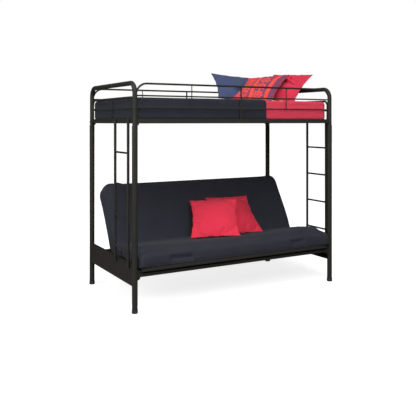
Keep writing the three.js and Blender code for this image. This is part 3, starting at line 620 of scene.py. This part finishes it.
seat_points, seat_quads = futon_half(SEAT_REACH, SEAT_HEIGHT, FUTON_ROUND)
back_points, back_quads = futon_half(BACK_REACH, BACK_HEIGHT, BACK_CORNER)
both_points = np.concatenate([moved(seat_points, seat_place), moved(back_points, back_place)])
both_quads = seat_quads + [[i + len(seat_points) for i in quad] for quad in back_quads]
futon = mesh_piece("futon_mattress", both_points, both_quads, navy_cover)
baked(futon, ("REMESH", {"mode": "VOXEL", "voxel_size": FUTON_VOXEL}),
      ("SMOOTH", {"factor": 0.5, "iterations": 3}))
print("futon skin:", len(futon.data.vertices), "points")

# %% [markdown]
# The simulation swells the skin by an amount that isn't known beforehand. Afterwards the seat and
# the back are therefore scaled to their measured thickness, the front edge is rolled, both
# ends of the seat are filled out, and the underside is pressed flat where it lies on steel.

# %% Swell the futon and rest it on its frames
FUTON_CAP = 0.018
SEAT_SHARE = 0.85


def smooth_step(value, low, high):
    share = np.clip((value - low) / (high - low), 0, 1)
    return share * share * (3 - 2 * share)


def settled(points, place, reach, top):
    """Scales one half to its thickness and flattens it onto its frame."""
    local = moved(points, place.inverted())
    middle = np.abs(local[:, 0]) < 0.5
    middle &= (np.abs(local[:, 1] - reach * 0.6) < 0.15) & (local[:, 2] > 0.08)
    now = np.median(local[middle, 2]) - DECK_LIFT
    own = smooth_step(local[:, 1], 0.10, 0.25) * (local[:, 2] > 0) * (local[:, 2] < 0.26)
    own *= local[:, 1] < reach + 0.05
    local[:, 2] += own * (local[:, 2] - DECK_LIFT) * (top / now - 1)
    under = (local[:, 2] < DECK_LIFT) & (local[:, 1] > 0.04)
    local[under, 2] = DECK_LIFT
    far = np.percentile(local[own > 0.9, 1], 99.9)
    half = np.percentile(np.abs(local[own > 0.9, 0]), 99.9)
    local[:, 1] += own * np.maximum(local[:, 1] - 0.25, 0) * ((reach - 0.25) / (far - 0.25) - 1)
    local[:, 0] *= 1 + own * (FUTON_HALF / half - 1)
    print(f"thickness {now * 1000:.0f} to {top * 1000:.0f} mm, "
          f"reach {far * 1000:.0f} to {reach * 1000:.0f} mm, "
          f"half width {half * 1000:.0f} to {FUTON_HALF * 1000:.0f} mm")
    return moved(local, place)


def filled_out(points):
    """Rolls the seat's front edge and fills its two ends."""
    local = moved(points, seat_place.inverted())
    rise = (local[:, 2] - DECK_LIFT) / SEAT_TOP
    nose = smooth_step(local[:, 1], SEAT_REACH - 0.12, SEAT_REACH - 0.02)
    local[:, 1] += NOSE_SWELL * nose * (1 - (2 * np.clip(rise, 0, 1) - 0.9) ** 2)
    roll = np.clip((local[:, 1] - SEAT_REACH + ROLL_DEPTH) / ROLL_DEPTH, 0, 1)
    local[:, 2] -= ROLL_DROP * roll ** 2.2 * np.clip(rise, 0, 1.2) ** 2 * (local[:, 2] < 0.26)
    height = local[:, 2] - DECK_LIFT
    sink = smooth_step(local[:, 1], SEAT_REACH - 0.12, SEAT_REACH - 0.06)
    sink *= 1 - smooth_step(height, 0.025, 0.085)
    local[:, 2] -= NOSE_SINK * sink * height
    on_seat = smooth_step(local[:, 1], 0.20, 0.35) * np.clip(rise, 0, 1) * (local[:, 2] < 0.26)
    for side, more in zip((1, -1), END_FILL):
        local[:, 2] += more * on_seat * smooth_step(side * local[:, 0], 0.25, FUTON_HALF * SEAT_SHARE)
    return moved(local, seat_place)


inflate(futon, pressure=3.0, slack=0.015, frames=18, cap=FUTON_CAP)
skin = settled(points_of(futon), seat_place, SEAT_REACH, SEAT_TOP)
skin = settled(skin, back_place, BACK_REACH, BACK_TOP)
set_points(futon, filled_out(skin))
baked(futon, ("SUBSURF", {"levels": 1}))

# %% [markdown]
# The boxed cover has a seam along its upper and lower edges. The seat's front edge is dented where
# the filling has shifted, and both ends are bunched up beside the fold, where the cloth has
# nowhere else to go. The lines below are given in the seat's own frame, or in the room's.

# %% Seams and folds of the futon
SEAM_INSET = 0.010
SEAM_DEPTH, SEAM_WIDTH = 0.0035, 0.007
FRONT = -0.53
DENTS = ([(-0.66, FRONT, 0.400), (-0.58, FRONT, 0.394), (-0.50, FRONT, 0.392)],
         [(0.53, FRONT, 0.406), (0.63, FRONT, 0.412)])
DENT_DEPTH, DENT_WIDTH = 0.015, 0.023
FRONT_SEAM = [(-0.936, -0.51, 0.37), (-0.935, -0.51, 0.44), (-0.92, -0.49, 0.475),
              (-0.885, -0.46, 0.488), (-0.74, -0.45, 0.492)]
FRONT_SEAM_SIZE = 0.009
END_FOLDS = (
    ((0.06, 0.475), (-0.02, 0.445), (-0.13, 0.430)),
    ((0.02, 0.425), (-0.04, 0.390), (-0.12, 0.385)),
    ((-0.03, 0.375), (-0.08, 0.350), (-0.20, 0.352)),
    ((-0.13, 0.455), (-0.17, 0.405), (-0.24, 0.380)),
    ((-0.20, 0.440), (-0.27, 0.415), (-0.31, 0.370)),
)
END_DEPTHS = ((-0.939, 0.016), (0.939, 0.008))


def boxing_seams(place, reach, top):
    """Seam lines round one half: along both ends and the far edge, near its upper and lower face."""
    lines = []
    side, far = FUTON_HALF + 0.002, reach + 0.004
    for height in (DECK_LIFT + SEAM_INSET, DECK_LIFT + top - SEAM_INSET):
        around = [(-side, 0.16, height), (-side, far - 0.05, height), (-side + 0.05, far, height),
                  (side - 0.05, far, height), (side, far - 0.05, height), (side, 0.16, height)]
        lines.append([place @ Vector(point) for point in around])
    return lines


pressed(futon, boxing_seams(seat_place, SEAT_REACH, SEAT_TOP)
        + boxing_seams(back_place, BACK_REACH, BACK_TOP), SEAM_DEPTH, SEAM_WIDTH)


def laid_on(piece, line, pace=0.01):
    """The line drawn on the piece's surface, in short steps."""
    steps = [Vector(line[0])]
    for start, end in zip(line, line[1:]):
        start, end = Vector(start), Vector(end)
        count = max(1, round((end - start).length / pace))
        steps += [start.lerp(end, i / count) for i in range(1, count + 1)]
    laid = []
    for step in steps:
        point = piece.closest_point_on_mesh(step)[1]
        if not laid or (point - laid[-1]).length > pace / 10:
            laid.append(point)
    return laid


pressed(futon, [laid_on(futon, dent) for dent in DENTS], DENT_DEPTH, DENT_WIDTH)
pressed(futon, [laid_on(futon, FRONT_SEAM)], FRONT_SEAM_SIZE, FRONT_SEAM_SIZE)
for end, depth in END_DEPTHS:
    pressed(futon, [[(end, y, z) for y, z in fold] for fold in END_FOLDS], depth, 0.013)
    pressed(futon, [[(end, y - 0.02, z + 0.018) for y, z in fold] for fold in END_FOLDS], -depth / 2, 0.012)
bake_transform(futon)
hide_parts("seat_cushion", "back_cushion")
print("futon:", rounded(futon.dimensions), "m")

# %% [markdown]
# ## The upper mattress
#
# The twin mattress wears a fitted crimson sheet. A mattress has a firm taped edge along its top
# and bottom, which shows through the sheet as a soft ridge, so the side walls of the
# padded block are pushed in a little between the two edges. Underneath, the sheet ends in an
# elastic hem a hand's breadth in, and the pale ticking of the mattress shows.

# %% Upper mattress
MATTRESS_ROUND = 0.036
EDGE_TAPE = 0.0035
SHEET_TUCK = 0.09
ticking = cloth("mattress_ticking_cloth", (0.60, 0.59, 0.57), (0.68, 0.67, 0.65), 0.04)


def crumple(points, amount, scale, seed):
    """Moves points by smooth noise, as slack cloth lies."""
    offset = Vector((seed, seed * 2, seed * 3))
    return points + amount * np.array([noise.noise_vector(Vector(p) * scale + offset) for p in points])


low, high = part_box("upper_mattress")
mattress_size = high - low
points, quads = soft_block((*mattress_size.xy, mattress_size.z - 0.008), MATTRESS_ROUND, 0.008, 0.005, 0.022)
wall = 1 - (2 * points[:, 2] / mattress_size.z - 1) ** 2
side = np.abs(points[:, :2]) / (np.array(mattress_size[:2]) / 2)
for axis in (0, 1):
    edge = np.clip((side[:, axis] - 0.96) / 0.04, 0, 1)
    points[:, axis] -= np.sign(points[:, axis]) * EDGE_TAPE * edge * wall
points = crumple(points, 0.0015, 9.0, 3.0)
points += ((low.x + high.x) / 2, (low.y + high.y) / 2, low.z)
points[:, 2] = np.maximum(points[:, 2], low.z + 0.0002)
mattress = mesh_piece("fitted_sheet_mattress", points, quads, crimson_sheet)
baked(mattress, ("SUBSURF", {"levels": 1}))
mattress.data.materials.append(ticking)
bare = np.array([0.5, 0.5]) * mattress_size[:2] - SHEET_TUCK
for face in mattress.data.polygons:
    off = np.abs(np.array(face.center[:2]) - np.array((low + high)[:2]) / 2)
    if face.normal.z < -0.9 and (off < bare).all():
        face.material_index = 1
SHEET_CREASES = (
    [(0.30, low.y, 1.624), (0.55, low.y, 1.620), (0.80, low.y, 1.627)],
    [(0.42, low.y, 1.560), (0.70, low.y, 1.556), (0.93, low.y, 1.563)],
    [(0.34, low.y, 1.600), (0.50, low.y, 1.597)],
    [(high.x, -0.40, 1.60), (high.x, -0.10, 1.592), (high.x, 0.30, 1.60)],
)
pressed(mattress, SHEET_CREASES, 0.0025, 0.010)
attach(mattress, "bunk_frame")
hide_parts("upper_mattress")
print("mattress:", rounded(mattress.dimensions), "m")

# %% [markdown]
# ## The dark bed cover
#
# A dark cover lies over the left half of the bunk and is tucked down its sides. It is made from
# the mattress itself: the faces left of its edge are copied, moved outwards by the cover's
# own thickness, and given a thickness, so it follows every swell of the bed. The cut lines
# put extra points where a few soft folds hang down the front.

# %% Bed cover
COVER_EDGE = 0.279
COVER_LIFT = 0.0025
COVER_THICKNESS = 0.003
COVER_HEM = 0.012
CORNER_SPAN, CORNER_OUT = 0.040, 0.009
HANGING_FOLDS = (-0.146, -0.127, -0.104, -0.084)
FOLD_CUTS = (-0.008, -0.004, 0.0, 0.004, 0.008)


def square_corner(place):
    """Moves a point near the cover's two hanging corners outwards, where slack cloth stands off."""
    over = Vector((low.x + CORNER_SPAN - place.x, abs(place.y - (low.y + high.y) / 2)
                   - (high.y - low.y) / 2 + CORNER_SPAN)) / CORNER_SPAN
    share = min(max(over.x, 0.0), 1.2) * min(max(over.y, 0.0), 1.2)
    place.x -= CORNER_OUT * share
    place.y += math.copysign(CORNER_OUT, place.y) * share


def bed_cover():
    shape = bmesh.new()
    shape.from_mesh(mattress.data)
    for place in [COVER_EDGE] + [fold + cut for fold in HANGING_FOLDS for cut in FOLD_CUTS]:
        bmesh.ops.bisect_plane(shape, geom=shape.verts[:] + shape.edges[:] + shape.faces[:],
                               plane_co=(place, 0, 0), plane_no=(1, 0, 0))
    floor_line = low.z + COVER_HEM
    spare = [face for face in shape.faces if face.calc_center_median().x > COVER_EDGE
             or face.calc_center_median().z < floor_line]
    bmesh.ops.delete(shape, geom=spare, context="FACES")
    for vertex in shape.verts:
        vertex.co += vertex.normal * COVER_LIFT
        square_corner(vertex.co)
    mesh = bpy.data.meshes.new("bed_cover")
    shape.to_mesh(mesh)
    shape.free()
    piece = placed("bed_cover", mesh)
    paint(piece, navy_cover)
    return piece


cover = bed_cover()
front_wall = low.y - COVER_LIFT
pressed(cover, [[(x, front_wall, low.z), (x + 0.002, front_wall, 1.60), (x + 0.004, front_wall + 0.02, 1.66)]
                for x in HANGING_FOLDS], -0.004, 0.005)
baked(cover, ("SOLIDIFY", {"thickness": COVER_THICKNESS, "offset": 1.0}))
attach(cover, "bunk_frame")

# %% [markdown]
# ## The printed pillow cloth
#
# One pillow has a woven stripe: two warm bands on a purple ground, a mottled side, and a row of
# round flower shapes between the bands. A print follows the cut of the cloth and not the room,
# so this material reads the map of the flat panel, which each panel keeps as it is blown up.

# %% Printed cloth
MOTIF_COLUMN = 0.61
MOTIF_ROWS = 4.0
MOTIF_SIZE = 0.115
PETALS = 8.0
BANDS = ((0.40, 0.48), (0.77, 0.85))
MOTTLED_END = 0.36
TOP_START = 0.955
WARM_TONE = (0.72, 0.062, 0.038)


def band(mat, value, start, end, soft=0.008):
    """1 between start and end, with soft edges."""
    return times(mat, remap(mat, value, start - soft, start + soft), remap(mat, value, end + soft, end - soft))


def flower(mat, across, along):
    """A row of round motifs with petals and a dark ring."""
    x = calc(mat, "SUBTRACT", across, MOTIF_COLUMN)
    row = calc(mat, "FRACT", times(mat, along, MOTIF_ROWS))
    y = calc(mat, "DIVIDE", calc(mat, "SUBTRACT", row, 0.5), MOTIF_ROWS)
    radius = calc(mat, "SQRT", calc(mat, "ADD", times(mat, x, x), times(mat, y, y)))
    turn = times(mat, calc(mat, "ARCTAN2", y, x), PETALS)
    wave = calc(mat, "MULTIPLY_ADD", calc(mat, "COSINE", turn), 0.22, 0.90)
    reach = calc(mat, "DIVIDE", radius, times(mat, wave, MOTIF_SIZE))
    petals, heart = band(mat, reach, 0.55, 1.0, 0.08), band(mat, reach, -1.0, 0.32, 0.08)
    return calc(mat, "MAXIMUM", petals, heart)


def striped_print(mat, ground):
    flat = node(mat, "TexCoord").outputs["UV"]
    place = node(mat, "SeparateXYZ", {0: flat})
    across, along = place.outputs["X"], place.outputs["Y"]
    mottled = remap(mat, cloudy(mat, flat, 22.0, 3.0), 0.40, 0.52)
    side = times(mat, band(mat, across, -1.0, MOTTLED_END), mottled)
    top = times(mat, band(mat, along, TOP_START, 2.0), band(mat, across, -1.0, BANDS[1][0]))
    warm = flower(mat, across, along)
    for shape in [band(mat, across, *edges) for edges in BANDS] + [side, top]:
        warm = calc(mat, "MAXIMUM", warm, shape)
    faded = times(mat, warm, calc(mat, "MULTIPLY_ADD", mottled, 0.16, 0.82))
    return tone_mix(mat, faded, ground, WARM_TONE)


patterned_cloth = cloth("patterned_pillow_cloth", (0.13, 0.034, 0.075), (0.18, 0.045, 0.10), 0.06,
                        printed=striped_print)
print("printed cloth:", patterned_cloth.name)

# %% [markdown]
# ## Loose pillows
#
# A throw pillow is two square panels sewn along their edges and stuffed. The seam is held while the
# simulation blows the panels up with some slack, so the cloth puckers along the seam and the
# corners stay pointed. The result is turned to lean as in the photograph and pushed clear
# of what it lies on. A thin piping covers the seam.

# %% Pillow helpers
PILLOW_CELLS = 48
PILLOW_GAP = 0.0006
PILLOW_DRAW_IN = (0.115, 0.045)
SCALLOP = 0.010
SCALLOPS = 4


def sewn_panels(seed):
    """Two square panels of half side 1 that share their seam, with the map of the flat panel."""
    steps = np.linspace(-1, 1, PILLOW_CELLS + 1)
    index, points, flat, faces = {}, [], [], []

    def key(layer, i, j):
        return 0 if {0, PILLOW_CELLS} & {i, j} else layer, i, j

    for layer in (1, -1):
        for i, u in enumerate(steps):
            for j, v in enumerate(steps):
                spot = key(layer, i, j)
                if spot in index:
                    continue
                index[spot] = len(points)
                part = 0.16 * (1 - u * u) * (1 - v * v)
                part += 0.03 * noise.noise(Vector((u * 3, v * 3, seed))) * (spot[0] != 0)
                wave_x = SCALLOP * math.cos(SCALLOPS * math.pi * v + seed)
                wave_y = SCALLOP * math.sin(SCALLOPS * math.pi * u + seed)
                x = u * (1 - (PILLOW_DRAW_IN[0] + wave_x) * (1 - v * v))
                y = v * (1 - (PILLOW_DRAW_IN[1] + wave_y) * (1 - u * u))
                points.append((x, y, layer * part))
                flat.append(((u + 1) / 2, (v + 1) / 2))
        for i in range(PILLOW_CELLS):
            for j in range(PILLOW_CELLS):
                quad = [index[key(layer, a, b)] for a, b in ((i, j), (i + 1, j), (i + 1, j + 1), (i, j + 1))]
                faces.append(quad if layer > 0 else quad[::-1])
    last = PILLOW_CELLS
    rim = ([(i, 0) for i in range(last)] + [(last, j) for j in range(last)]
           + [(i, last) for i in range(last, 0, -1)] + [(0, j) for j in range(last, 0, -1)])
    seam = [index[(0, i, j)] for i, j in rim]
    return np.array(points), faces, flat, seam


def lean_matrix(middle, yaw, lean, roll):
    stand = Matrix.Rotation(math.pi / 2 - lean, 4, "X") @ Matrix.Rotation(roll, 4, "Z")
    return Matrix.Translation(middle) @ Matrix.Rotation(-yaw, 4, "Z") @ stand


def give_way(piece, others, gap):
    """Pushes points that reach into other pieces back to just outside them."""
    points = points_of(piece)
    graph = bpy.context.evaluated_depsgraph_get()
    for other in others:
        tree = BVHTree.FromObject(other, graph)
        for i, point in enumerate(points):
            spot, normal, _, distance = tree.find_nearest(Vector(point), 0.15)
            if spot is None:
                continue
            inside = (Vector(point) - spot).dot(normal) < 0
            if inside or distance < gap:
                points[i] = spot + normal * gap
    set_points(piece, points)


def welt(name, path, radius, mat, sides=6):
    """A closed cord of round section along a loop of points."""
    path = [Vector(point) for point in path]
    count = len(path)
    points, faces = [], []
    middle = sum(path, Vector()) / count
    for i, spot in enumerate(path):
        way = (path[(i + 1) % count] - path[i - 1]).normalized()
        out = (spot - middle) - way * (spot - middle).dot(way)
        out.normalize()
        up = way.cross(out)
        for k in range(sides):
            angle = 2 * math.pi * k / sides
            points.append(spot + radius * (math.cos(angle) * out + math.sin(angle) * up))
        for k in range(sides):
            a, b = i * sides + k, i * sides + (k + 1) % sides
            c, d = ((i + 1) % count) * sides + (k + 1) % sides, ((i + 1) % count) * sides + k
            faces.append((a, b, c, d))
    return mesh_piece(name, points, faces, mat)


def corner_pull(flat, pulls):
    """Blends four corner moves, upper left, upper right, lower left and lower right, over a panel."""
    u, v = np.array(flat).T[:, :, None]
    upper_left, upper_right, lower_left, lower_right = np.array(pulls)
    return (v * ((1 - u) * upper_left + u * upper_right)
            + (1 - v) * ((1 - u) * lower_left + u * lower_right))


def pillow(name, mat, piping, size, thickness, middle, turn, pulls, rests_on, seed):
    points, faces, flat, seam = sewn_panels(seed)
    piece = mesh_piece(name, points * size / 2, faces, mat)
    panel_map = piece.data.uv_layers.new(name="panel")
    corners = [loop.vertex_index for loop in piece.data.loops]
    panel_map.data.foreach_set("uv", np.array([flat[i] for i in corners]).ravel())
    held = np.zeros(len(points), bool)
    held[seam] = True
    inflate(piece, pressure=9.0, slack=0.09, frames=30, cap=0.2, stiffness=20.0, bending=0.10, held=held)
    puffed = points_of(piece)
    puffed[:, 2] *= thickness / (puffed[:, 2].max() - puffed[:, 2].min())
    yaw, lean, roll = (math.radians(value) for value in turn)
    leaning = moved(puffed, lean_matrix(middle, yaw, lean, roll))
    set_points(piece, leaning + corner_pull(flat, pulls))
    give_way(piece, rests_on, PILLOW_GAP)
    edge = welt(name + "_piping", points_of(piece)[seam], *(piping or (PLAIN_PIPING, mat)))
    return baked(piece, ("SUBSURF", {"levels": 1})), edge


# %% Pillows
PLAIN_PIPING = 0.0016
NO_PULLS = ((0, 0, 0),) * 4
navy_piping = (0.0026, cloth("navy_piping_cloth", (0.018, 0.022, 0.045), (0.028, 0.034, 0.065), 0.1))
# Node, body, slot; cloth, its own piping; side, thickness; middle; yaw, lean and roll; corner pulls
PILLOWS = (
    ("pillow_patterned", "bunk_frame", "patterned_cloth", patterned_cloth, None,
     0.410, 0.112, (0.452, -0.1154, 1.771), (58, 58, -3),
     ((-0.010, 0, 0.008), (0.006, 0, 0.040), (0, 0, 0.016), (0, 0, 0))),
    ("pillow_blue", "bunk_frame", "blue_cloth", blue_cloth, navy_piping,
     0.430, 0.120, (0.438, 0.2996, 1.806), (7, 52, -9), NO_PULLS),
    # The bunk's crimson pillow wears the darker copy of the crimson pillow cloth: painted shade.
    ("pillow_crimson", "bunk_frame", "crimson_cloth", painted_shade_crimson_cloth, None,
     0.430, 0.120, (0.700, -0.1434, 1.795), (63, 52, -4), NO_PULLS),
    ("pillow_red_front", "back", "crimson_cloth", crimson_cloth, None,
     0.430, 0.116, (-0.058, -0.1384, 0.616), (32, 49, 4), NO_PULLS),
    ("pillow_red_rear", "back", "crimson_cloth", crimson_cloth, None,
     0.445, 0.116, (0.241, 0.0116, 0.603), (3, 48, -1), NO_PULLS),
)
lain = {"bunk_frame": [cover, mattress], "back": [futon]}
edges = []
for seed, (node_name, body, _, *making) in enumerate(PILLOWS, 1):
    piece, edge = pillow(node_name + "_cloth", *making, lain[body], float(seed))
    lain[body].append(piece)
    edges.append((piece, edge))
for (node_name, body, slot, *_), (piece, edge) in zip(PILLOWS, edges):
    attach(piece, body)
    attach(edge, body)
    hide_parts(node_name)
    print(piece.name, rounded(piece.dimensions))

# %% [markdown]
# ## Stretcher lip
#
# The front stretcher carries a narrow upright flange along its rear edge, which stops the futon
# from sliding back over it and closes the slit under the seat's front tube. It is a thin
# folded strip, so it is drawn as a long box with its upper edge rounded over.

# %% Stretcher lip
LIP_REACH = 0.925
LIP_HEIGHT = 0.011
LIP_THICKNESS = 0.002
LIP_STEPS = 24


def strip_along_x(name, outline, reach, steps, mat):
    """A closed strip: an outline of (y, z) points run along X, with flat ends."""
    count = len(outline)
    points = [(x, y, z) for x in np.linspace(-reach, reach, steps + 1) for y, z in outline]
    faces = [(a + k, a + count + k, a + count + (k + 1) % count, a + (k + 1) % count)
             for a in range(0, steps * count, count) for k in range(count)]
    faces += [tuple(range(count)), tuple(steps * count + k for k in reversed(range(count)))]
    return mesh_piece(name, points, faces, mat, smooth=False)


stretcher_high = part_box("stretcher_front")[1]
back_face = stretcher_high.y - 0.001
lip_top = stretcher_high.z + LIP_HEIGHT
lip_outline = [(back_face - LIP_THICKNESS, stretcher_high.z - 0.0005), (back_face, stretcher_high.z - 0.0005)]
lip_outline += [(back_face, lip_top - 0.001), (back_face - 0.0006, lip_top),
                (back_face - LIP_THICKNESS + 0.0006, lip_top), (back_face - LIP_THICKNESS, lip_top - 0.001)]
lip = strip_along_x("stretcher_lip", lip_outline, LIP_REACH, LIP_STEPS, frame_coat)
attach(lip, "bunk_frame")
print("lip:", rounded(lip.dimensions))

# %% [markdown]
# ## Bolts, tube plugs and weld beads
#
# The frame comes in flat parcels: welded units, bolted together. Each bolt head, plug and bead is
# round, so one helper turns a profile about an axis, and another puts copies of it at a list
# of places and joins them into one piece. The profiles are small, but they catch the light.

# %% Turned details
TURN_SIDES, BEAD_SIDES = 16, 20
BOLT_HEAD = [(0.0, 0.0042), (0.0032, 0.0040), (0.0058, 0.0026), (0.0066, 0.0010), (0.0066, 0.0), (0.0, 0.0)]
WASHER_BOLT = [(0.0, 0.0050), (0.0030, 0.0048), (0.0052, 0.0034), (0.0056, 0.0014), (0.0082, 0.0012),
               (0.0084, 0.0), (0.0, 0.0)]
TUBE_PLUG = [(0.0, 0.0034), (0.0060, 0.0030), (0.0098, 0.0018), (0.0113, 0.0004), (0.0113, 0.0), (0.0, 0.0)]


def turned(profile, sides=TURN_SIDES, closed=False):
    """Points and faces of a profile of (radius, height) pairs turned about Z; radius 0 closes it."""
    points, faces, rings = [], [], []
    for radius, height in profile:
        rings.append([len(points) + k * (radius > 0) for k in range(sides)])
        for angle in np.arange(sides if radius else 1) * 2 * math.pi / sides:
            points.append((radius * math.cos(angle), radius * math.sin(angle), height))
    for upper, under in zip(rings, rings[1:] + rings[:1] * closed):
        for k in range(sides):
            face = [upper[k], under[k], under[(k + 1) % sides], upper[(k + 1) % sides]]
            faces.append(tuple(dict.fromkeys(face)))
    return np.array(points), [face for face in faces if len(face) > 2]


def bead(radius, size=0.0022):
    """A weld bead: a ring with a hollow-cheeked section round a tube that meets a face."""
    inner = radius - 0.0006
    section = [(inner, size), (radius + size * 0.35, size * 0.35), (radius + size, 0.0), (inner, 0.0)]
    return turned(section, BEAD_SIDES, closed=True)


def scattered(name, shape, places, mat):
    """Copies of a shape, each at a place and pointing a way, joined into one piece."""
    all_points, all_faces, start = [], [], 0
    for place, way in places:
        matrix = Matrix.Translation(place) @ Vector(way).to_track_quat("Z", "Y").to_matrix().to_4x4()
        all_points.append(moved(shape[0], matrix))
        all_faces += [tuple(i + start for i in face) for face in shape[1]]
        start += len(shape[0])
    piece = mesh_piece(name, np.concatenate(all_points), all_faces, mat)
    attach(piece, "bunk_frame")
    print(f"{name}: {len(places)} copies")


# %% Bolts
POST_Y, ROW_Y = 0.495, 0.0076
RAIL_MIDDLE = 1.4675
SIDES = (-1, 1)
panel_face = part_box("end_panel_right")[1].x
hoop_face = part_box("end_hoop_right")[1].x
track_low, track_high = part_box("track_plate_right")
BRACKET_X, BRACKET_HALF = 0.938, 0.006
post_y = [side * POST_Y + ROW_Y for side in SIDES]

rail_bolts = [((end * hoop_face, y, RAIL_MIDDLE), (end, 0, 0)) for end in SIDES for y in post_y]
panel_bolts = [((end * panel_face, y + inward * 0.040, z), (end, 0, 0))
               for end in SIDES for y, inward in zip(post_y, (1, -1)) for z in (0.243, 0.329)]
scattered("frame_bolts", turned(WASHER_BOLT), rail_bolts + panel_bolts, black_bolt)
bracket_bolts = [((end * BRACKET_X, y + way * BRACKET_HALF, 0.3135), (0, way, 0))
                 for end in SIDES for y in post_y for way in SIDES]
scattered("stretcher_bolts", turned(BOLT_HEAD), bracket_bolts, black_bolt)
track_bolts = [((end * track_low.x, y, z), (-end, 0, 0)) for end in SIDES
               for y in (track_low.y + 0.034, track_high.y - 0.034) for z in (0.2200, 0.3510)]
scattered("track_bolts", turned(BOLT_HEAD), track_bolts, zinc)

# %% Plugs and weld beads
LADDER_X = 0.99135
LADDER_RAILS = (-0.4100, -0.1348)
LADDER_RAIL_RADIUS, RUNG_RADIUS = 0.011, 0.008
RUNG_HEIGHTS = [0.464 + 0.254 * step for step in range(4)]
ladder_low, ladder_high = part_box("ladder_right")
plugs = [((end * LADDER_X, y, z), (0, 0, way)) for end in SIDES for y in LADDER_RAILS
         for z, way in ((ladder_high.z + 0.0001, 1), (ladder_low.z - 0.0001, -1))]
scattered("ladder_plugs", turned(TUBE_PLUG), plugs, black_plastic)
rung_welds = [((end * LADDER_X, y + way * (LADDER_RAIL_RADIUS - 0.0006), z), (0, way, 0))
              for end in SIDES for y, way in zip(LADDER_RAILS, (1, -1)) for z in RUNG_HEIGHTS]
scattered("ladder_weld_beads", bead(RUNG_RADIUS), rung_welds, frame_coat)
